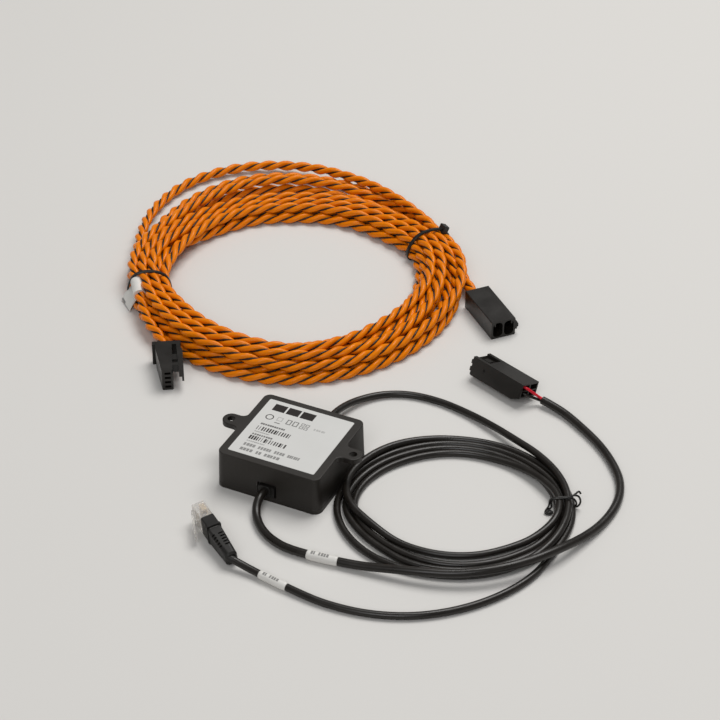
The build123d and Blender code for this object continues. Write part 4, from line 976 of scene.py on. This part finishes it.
# sensing rope; lengths in mm
ropeValues = {
    "diameter": 6.8,
    "readEach": 12,
    "settle": 6.35,         # turns settle at this spacing
    "fixed": (4, 3),        # control points held at the start and at the end
    "rounds": 200,
    "quickRounds": 60,
    "turns": {"first": 0.0, "last": 10 * 360 + 168.0, "perTurn": 20, "blur": 10},   # degrees; points a turn
    "strand": 3.45,         # two thick strands
    "strandOut": 1.62,
    "wire": 1.22,           # two thin wires in the grooves
    "wireOut": 1.46,
    "pitch": 23.0,
    "tailPitch": 18.5,      # the twist is tighter towards the plug
    "tailBlend": 70.0,
    "strandMesh": (10, 2.0),    # points round a strand, mm from ring to ring
    "wireMesh": (5, 2.2),
    "left": [
        (-113.05, 58.02, 6.8), (-119.18, 68.34, 6.8), (-133.5, 76.5, 8.6), (-147.0, 92.0, 9.6),
        (-158.6, 107.5, 11.0),
    ],
    "right": [(-2.5, 221.0, 4.6), (13.0, 203.5, 5.2), (20.82, 194.74, 5.9), (27.53, 188.74, 5.9)],
    "centre": (-85.0, 168.0),
    "start": 209.0,
    # at each angle, the radius and height of every pass; None leaves one to its other sections
    "sections": {
        209: [(98.4, 12.0), (93.0, 14.1), (87.0, 14.4), (79.8, 9.4), (82.6, 13.2), (79.4, 3.4), (85.4, 3.4),
            (88.4, 8.8), (91.5, 3.4), (95.0, 8.8), (97.6, 3.4)],
        188: [None] * 9 + [(99.6, 8.4), (98.2, 3.4)],
        176: [None] * 9 + [(107.5, 5.0), (100.6, 3.4)],
        165: [(88.0, 11.0), (82.0, 10.0), (76.0, 9.0), (71.5, 8.8), (68.0, 3.4), (74.5, 3.4), (81.0, 3.4),
            (87.5, 3.4), (94.0, 3.4), (118.0, 3.6), (103.8, 3.4)],
        150: [(95.0, 10.5)] + [None] * 7 + [(99.0, 3.4), (128.5, 3.4), (111.0, 3.4)],
        135: [(100.0, 9.6), (82.0, 8.8), (75.4, 8.8), (69.0, 8.8), (65.5, 3.4), (72.2, 3.4), (78.8, 3.4),
            (85.4, 3.4), (101.5, 3.4), (131.6, 3.4), (117.0, 3.4)],
        124: [None] * 9 + [(131.0, 3.4), (118.0, 3.4)],
        113: [(99.5, 9.6), (79.5, 8.8), (72.8, 8.8), (66.0, 8.8), (62.5, 3.4), (69.3, 3.4), (76.1, 3.4),
            (82.7, 3.4), (100.6, 3.4), (125.5, 3.4), (114.5, 3.4)],
        100: [None] * 9 + [(114.0, 5.4), (110.0, 3.4)],
        87: [(98.0, 3.4), (83.0, 8.8), (76.5, 8.8), (70.0, 8.8), (66.5, 3.4), (73.0, 3.4), (79.5, 3.4),
            (86.0, 3.4), (92.0, 3.4), (101.3, 8.8), (104.3, 3.4)],
        62: [(98.2, 3.4), (83.4, 8.8), (77.4, 8.8), (71.3, 8.8), (68.2, 3.4), (74.2, 3.4), (80.3, 3.4),
            (86.2, 3.4), (92.2, 3.4), (96.0, 8.8), (103.6, 3.4)],
        41: [(97.0, 9.0), (88.2, 14.0), (82.2, 14.0), (78.6, 8.8), (76.4, 3.4), (82.4, 3.4), (85.0, 8.8),
            (88.4, 3.4), (91.2, 8.8), (94.2, 13.8), (94.8, 3.4)],
        13: [(101.2, 8.8), (91.5, 13.4), (85.2, 14.0), (82.2, 8.8), (79.0, 3.4), (85.2, 3.4), (88.5, 8.8),
            (91.4, 3.4), (97.8, 3.4), (104.0, 3.4)],
        340: [(104.0, 8.8), (97.0, 9.5), (87.0, 14.0), (83.5, 8.8), (80.0, 3.4), (86.3, 3.4), (90.0, 8.8),
            (93.0, 3.4), (100.5, 3.4), (107.5, 3.4)],
        300: [(109.4, 8.8), (105.8, 14.0), (99.7, 14.0), (96.5, 8.8), (80.5, 3.4), (93.5, 3.4),
            (103.0, 8.8), (99.7, 3.4), (106.0, 3.4), (112.6, 3.4)],
        258: [(98.4, 14.1), (92.4, 14.1), (86.4, 14.1), (89.4, 8.8), (86.4, 3.4), (92.4, 3.4), (95.4, 8.8),
            (98.4, 3.4), (101.4, 8.8), (104.4, 3.4)],
        232: [(91.6, 14.1), (85.6, 14.1), (79.8, 13.8), (83.4, 8.8), (80.4, 3.4), (86.4, 3.4), (89.4, 8.8),
            (92.4, 3.4), (95.4, 8.8), (98.4, 3.4)],
    },
}


def twistedStrands(name, line, values, part, quarter):
    # two helices on opposite sides of the line: centre = line + out (cos p side + sin p lift),
    # p = quarter - the sum of 2 pi ds / pitch, and each strand is a tube round its own helix; the
    # pitch nears the tail's as e to the power -(way to the end / tailBlend) squared
    thick, out, (around, step) = values[part], values[part + "Out"], values[part + "Mesh"]
    even, marks = evenLine(line, step * mm)
    _, side, lift = lineFrames(even)
    blend = np.exp(-(((marks[-1] - marks) / (values["tailBlend"] * mm)) ** 2))
    pitch = values["pitch"] + (values["tailPitch"] - values["pitch"]) * blend
    twist = 2 * math.pi * np.cumsum(np.gradient(marks) / (pitch * mm))
    meshes = []
    for half in (0.0, math.pi):
        phase = (half + quarter - twist)[:, None]
        centre = even + out * mm * (np.cos(phase) * side + np.sin(phase) * lift)
        _, across, over = lineFrames(centre)
        meshes.append(tubeMesh(name + "Half", centre, across, over, thick * mm / 2, around))
    return meshes


def ropeMesh(name, line, values):
    # two thick strands, then two thin wires a quarter turn on
    thick = twistedStrands(name, line, values, "strand", 0.0)
    thin = twistedStrands(name, line, values, "wire", math.pi / 2)
    return joinMeshes(name, thick + thin, (0, 0, 1, 1))


ropePoints = np.vstack([ropeValues["left"], turnPoints(ropeValues), ropeValues["right"]])
ropeTies = [tieFrame(tieValues[side]) for side in ("left", "right")]
ropePoints = settleTurns(ropePoints, ropeValues, ropeTies) * mm
ropeLine = splineLine(ropePoints[::-1], ropeValues["readEach"])
ropeStrands = ropeMesh("sensingRope", ropeLine, ropeValues)
sensingRope = meshPiece("sensingRope", ropeStrands, "ropeOrange")
sensingRope.data.materials.append(materials["wireBlack"])
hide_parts("rope_coil", "rope_tail_left", "rope_tail_right")
print("rope:", round(lineLength(ropeLine), 3), "m,", len(sensingRope.data.polygons), "faces")


def tieBand(name, values):
    # the outline, smoothed, swept by a strap section: width along the normal, thickness outwards
    at, out, normal, outline = tieFrame(values)
    ahead = np.roll(outline, -1, 0) - np.roll(outline, 1, 0)
    away = np.stack([ahead[:, 1], -ahead[:, 0]], 1) / np.linalg.norm(ahead, axis=1)[:, None]
    half, thick = values["width"] / 2, values["thick"]
    upright = np.stack([out, (0.0, 0.0, 1.0)])
    rows = []
    for across, up in strapProfile:
        rows.append(at + (outline + away * up * thick) @ upright + normal * across * half)
    ring = np.stack(rows, 1) * mm
    # quads between each section and the next, closed both ways
    count, around = ring.shape[:2]
    a, b = np.arange(count), (np.arange(count) + 1) % count
    k, m = np.arange(around), (np.arange(around) + 1) % around
    a, b = a[:, None] * around, b[:, None] * around
    faces = np.stack([a + k, a + m, b + m, b + k], -1).reshape(-1, 4)
    mesh = bpy.data.meshes.new(name)
    mesh.from_pydata(ring.reshape(-1, 3).tolist(), [], faces.tolist())
    mesh.update()
    return facedOut(mesh)


def facedOut(mesh, bevel=0.0):
    # faces turned outwards, and sharp edges rounded where a bevel is given
    form = bmesh.new()
    form.from_mesh(mesh)
    bmesh.ops.recalc_face_normals(form, faces=form.faces)
    if bevel:
        bmesh.ops.bevel(form, geom=form.edges[:], offset=bevel, segments=2, affect="EDGES", profile=0.5)
    form.to_mesh(mesh)
    form.free()
    return mesh


def tieHead(name, values):
    # the ratchet head: a leaning block on the strap's end, with a ledge where the strap leaves it;
    # corner = middle + half the size times (-1 or 1) along each of the head's three directions
    at, out, normal, _ = tieFrame(values)
    u, z = values["head"]["at"]
    lean = math.radians(values["head"]["lean"])
    across = out * math.cos(lean) + np.array((0.0, 0.0, math.sin(lean)))
    over = np.cross(normal, across) * (1 if np.cross(normal, across)[2] > 0 else -1)
    turn = np.stack([across, normal, over])
    middle = at + out * u + np.array((0.0, 0.0, z))
    corners = np.array([(i, j, k) for i in (-1, 1) for j in (-1, 1) for k in (-1, 1)])
    faces = [(0, 1, 3, 2), (4, 6, 7, 5), (0, 4, 5, 1), (2, 3, 7, 6), (0, 2, 6, 4), (1, 5, 7, 3)]
    form = bmesh.new()
    for size, shift, bevel in values["head"]["blocks"]:
        spots = middle + (corners * np.array(size) / 2 + np.array(shift)) @ turn
        mesh = bpy.data.meshes.new(name + "Block")
        mesh.from_pydata((spots * mm).tolist(), [], faces)
        form.from_mesh(facedOut(mesh, bevel * mm))
        bpy.data.meshes.remove(mesh)
    mesh = bpy.data.meshes.new(name)
    form.to_mesh(mesh)
    form.free()
    return mesh


def flagMesh(name, line, values):
    # paper folded round the rope: at each station a closed outline runs from the flap's outer edge
    # to the rope, round a circle about it and back to the edge
    even, marks = evenLine(line, values["step"] * mm)
    centre = marks[np.argmin(np.linalg.norm(even - np.array(values["at"]) * mm, axis=1))]
    half = values["length"] * mm / 2
    part = even[(marks > centre - half) & (marks < centre + half)]
    tangent = np.gradient(part, axis=0)
    tangent /= np.linalg.norm(tangent, axis=1)[:, None]
    share = np.linspace(0.0, 1.0, len(part))[:, None]
    edge = (np.array(values["edge"][0]) * (1 - share) + np.array(values["edge"][1]) * share) * mm
    ahead = edge - part
    ahead -= (ahead * tangent).sum(1)[:, None] * tangent
    ahead /= np.linalg.norm(ahead, axis=1)[:, None]
    lift = np.cross(ahead, tangent)
    lift *= np.sign(lift[:, 2:])
    pinch = math.radians(values["pinch"])
    turn = np.linspace(pinch, 2 * math.pi - pinch, values["wrapPoints"])[None, :, None]
    spoke = np.cos(turn) * ahead[:, None] + np.sin(turn) * lift[:, None]
    wrap = part[:, None] + values["radius"] * mm * spoke
    steps = np.linspace(0.0, 1.0, values["flapPoints"])[None, :-1, None]
    bow = values["bow"] * mm * np.sin(steps * math.pi) * lift[:, None]
    outer, half = edge[:, None], values["half"] * mm * lift[:, None]
    top = (outer + half) * (1 - steps) + wrap[:, :1] * steps + bow
    low = (wrap[:, -1:] * (1 - steps) + (outer - half) * steps + bow)[:, 1:]
    mesh = facedOut(gridMesh(name, np.concatenate([top, wrap, low], 1), uv=True))
    mesh.set_sharp_from_angle(angle=math.radians(values["crease"]))
    return mesh


zipTieLeft = meshPiece("zipTieLeft", tieBand("zipTieLeft", tieValues["left"]), "tieNylon")
zipTieRight = meshPiece("zipTieRight", tieBand("zipTieRight", tieValues["right"]), "tieNylon")
zipHead = meshPiece("zipHead", tieHead("zipHead", tieValues["right"]), "tieNylon")
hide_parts("zip_tie_left")
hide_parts("zip_tie_right")
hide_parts("zip_head")
ropeFlag = meshPiece("ropeFlag", flagMesh("ropeFlag", ropeLine, flagValues), "flagFilm")
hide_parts("rope_flag")
print("ties and flag on the rope")

# wire tie of the data coil, in three runs; lengths in mm
twistValues = {
    "diameter": 1.05,
    "each": 8,
    "rounding": 3,
    "first": [
        (151.2, 37.4, 8.4), (150.6, 37.6, 9.6), (149.9, 36.4, 10.2), (149.4, 34.4, 9.9),
        (147.9, 32.3, 9.0), (146.4, 31.1, 8.5), (143.0, 29.5, 8.3), (140.9, 27.8, 8.3),
        (138.2, 27.3, 7.9), (137.7, 27.2, 5.5), (138.0, 26.0, 3.6), (136.9, 24.9, 1.8),
        (136.9, 23.2, 0.9), (138.9, 22.7, 0.7), (140.8, 24.4, 0.9), (139.8, 25.6, 1.8),
        (138.0, 24.6, 1.9), (137.6, 23.6, 1.6), (139.4, 23.4, 1.5), (140.2, 24.6, 1.6),
    ],
    "second": [
        (147.4, 33.6, 1.0), (149.5, 34.8, 0.8), (151.3, 35.2, 1.8), (152.3, 35.6, 5.0),
        (151.2, 35.0, 8.6), (149.4, 33.7, 9.6), (147.5, 32.4, 9.3), (146.2, 31.6, 8.8),
        (142.8, 30.2, 8.6), (140.6, 28.6, 8.4), (139.0, 28.0, 7.6), (138.4, 27.4, 5.4),
        (139.3, 27.1, 3.0), (138.4, 25.9, 2.0), (136.6, 24.4, 1.5),
    ],
    "third": [
        (146.6, 31.3, 8.9), (148.4, 32.2, 8.7), (150.1, 33.2, 6.6), (150.6, 34.0, 3.6),
        (149.6, 34.6, 1.2), (147.6, 33.6, 0.8),
    ],
}
firstRun, *otherRuns = [np.array(twistValues[run]) * mm for run in ("first", "second", "third")]
wire, each = twistValues["diameter"] * mm, twistValues["each"]
twistTie = cordCurve("twistTie", firstRun, wire, each, twistValues["rounding"])
for run in otherRuns:
    addSpline(twistTie.data, run, each)
link(twistTie, "tieNylon")
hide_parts("coil_twist_tie")
print("tie on the data coil")


# finishes of the CAD's nodes
nodeFinish = {
    "boxPlastic": ["housing", "base_cover"],
    "screwSteel": ["cover_screws"],
    "boardMask": ["circuit_board"],
    "partBlack": ["relay", "chip"],
    "canMetal": ["capacitors"],
    "labelFilm": ["label_plate"],
    "bushingPlastic": ["front_bushing", "rear_bushing"],
    "connectorPlastic": ["lead_connector", "rope_receptacle", "rope_plug"],
    "wireRed": ["lead_wire_red"],
    "wireBlack": ["lead_wire_black"],
    "bootRubber": ["plug_boot"],
    "plugClear": ["plug_body"],
    "contactGold": ["plug_contacts", "receptacle_pins"],
    "cableJacket": ["plug_core", "lead_cable", "data_cable_rear", "data_cable_tail", "data_coil"],
    "tieNylon": ["zip_head", "zip_tie_left", "zip_tie_right", "coil_twist_tie"],
    "flagPaper": ["rope_flag"],
    "sleeveFilm": ["lead_sleeve", "data_sleeve"],
    "ropeOrange": ["rope_coil", "rope_tail_left", "rope_tail_right"],
}
for finish, names in nodeFinish.items():
    for name in names:
        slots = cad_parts[name].data.materials
        slots.clear()
        slots.append(materials[finish])
print("finishes on", sum(map(len, nodeFinish.values())), "nodes")


# floor, lamps and even light from all round
studioValues = {
    "floorSize": 6.0,
    "floorColor": (0.66, 0.65, 0.63),
    "floorRough": 0.75,
    "floorSpecular": 0.25,
    "worldColor": (1.0, 0.995, 0.985),
    "worldStrength": 0.24,
    "lamps": [
        # name, place in metres, aim, size, watts, colour
        ("lampBack", (0.22, 1.05, 2.15), (-0.02, 0.1, 0.0), 1.5, 43.0, (1.0, 0.985, 0.965)),
        ("lampFront", (0.5, -2.0, 1.9), (0.0, 0.0, 0.0), 1.4, 22.5, (0.99, 0.99, 1.0)),
    ],
}


def makeFloor(values):
    half = values["floorSize"] / 2
    mesh = bpy.data.meshes.new("studioFloor")
    corners = [(-half, -half, 0), (half, -half, 0), (half, half, 0), (-half, half, 0)]
    mesh.from_pydata(corners, [], [(0, 1, 2, 3)])
    floor = bpy.data.objects.new("studioFloor", mesh)
    bpy.context.collection.objects.link(floor)
    material, _, surface = newMaterial("floorPaper")
    surface.inputs["Base Color"].default_value = (*values["floorColor"], 1.0)
    surface.inputs["Roughness"].default_value = values["floorRough"]
    surface.inputs["Specular IOR Level"].default_value = values["floorSpecular"]
    mesh.materials.append(material)


def makeLamps(values):
    for name, place, aim, size, power, color in values["lamps"]:
        lamp = bpy.data.lights.new(name, "AREA")
        lamp.shape = "SQUARE"
        lamp.size = size
        lamp.energy = power
        lamp.color = color
        obj = bpy.data.objects.new(name, lamp)
        obj.location = place
        obj.rotation_euler = (Vector(place) - Vector(aim)).to_track_quat("Z", "Y").to_euler()
        bpy.context.collection.objects.link(obj)
    world = bpy.data.worlds.new("studioWorld")
    world.use_nodes = True
    world.node_tree.nodes["Background"].inputs["Color"].default_value = (*values["worldColor"], 1.0)
    world.node_tree.nodes["Background"].inputs["Strength"].default_value = values["worldStrength"]
    bpy.context.scene.world = world


makeFloor(studioValues)
makeLamps(studioValues)
bpy.context.scene.view_settings.view_transform = "Standard"
print("studio ready")
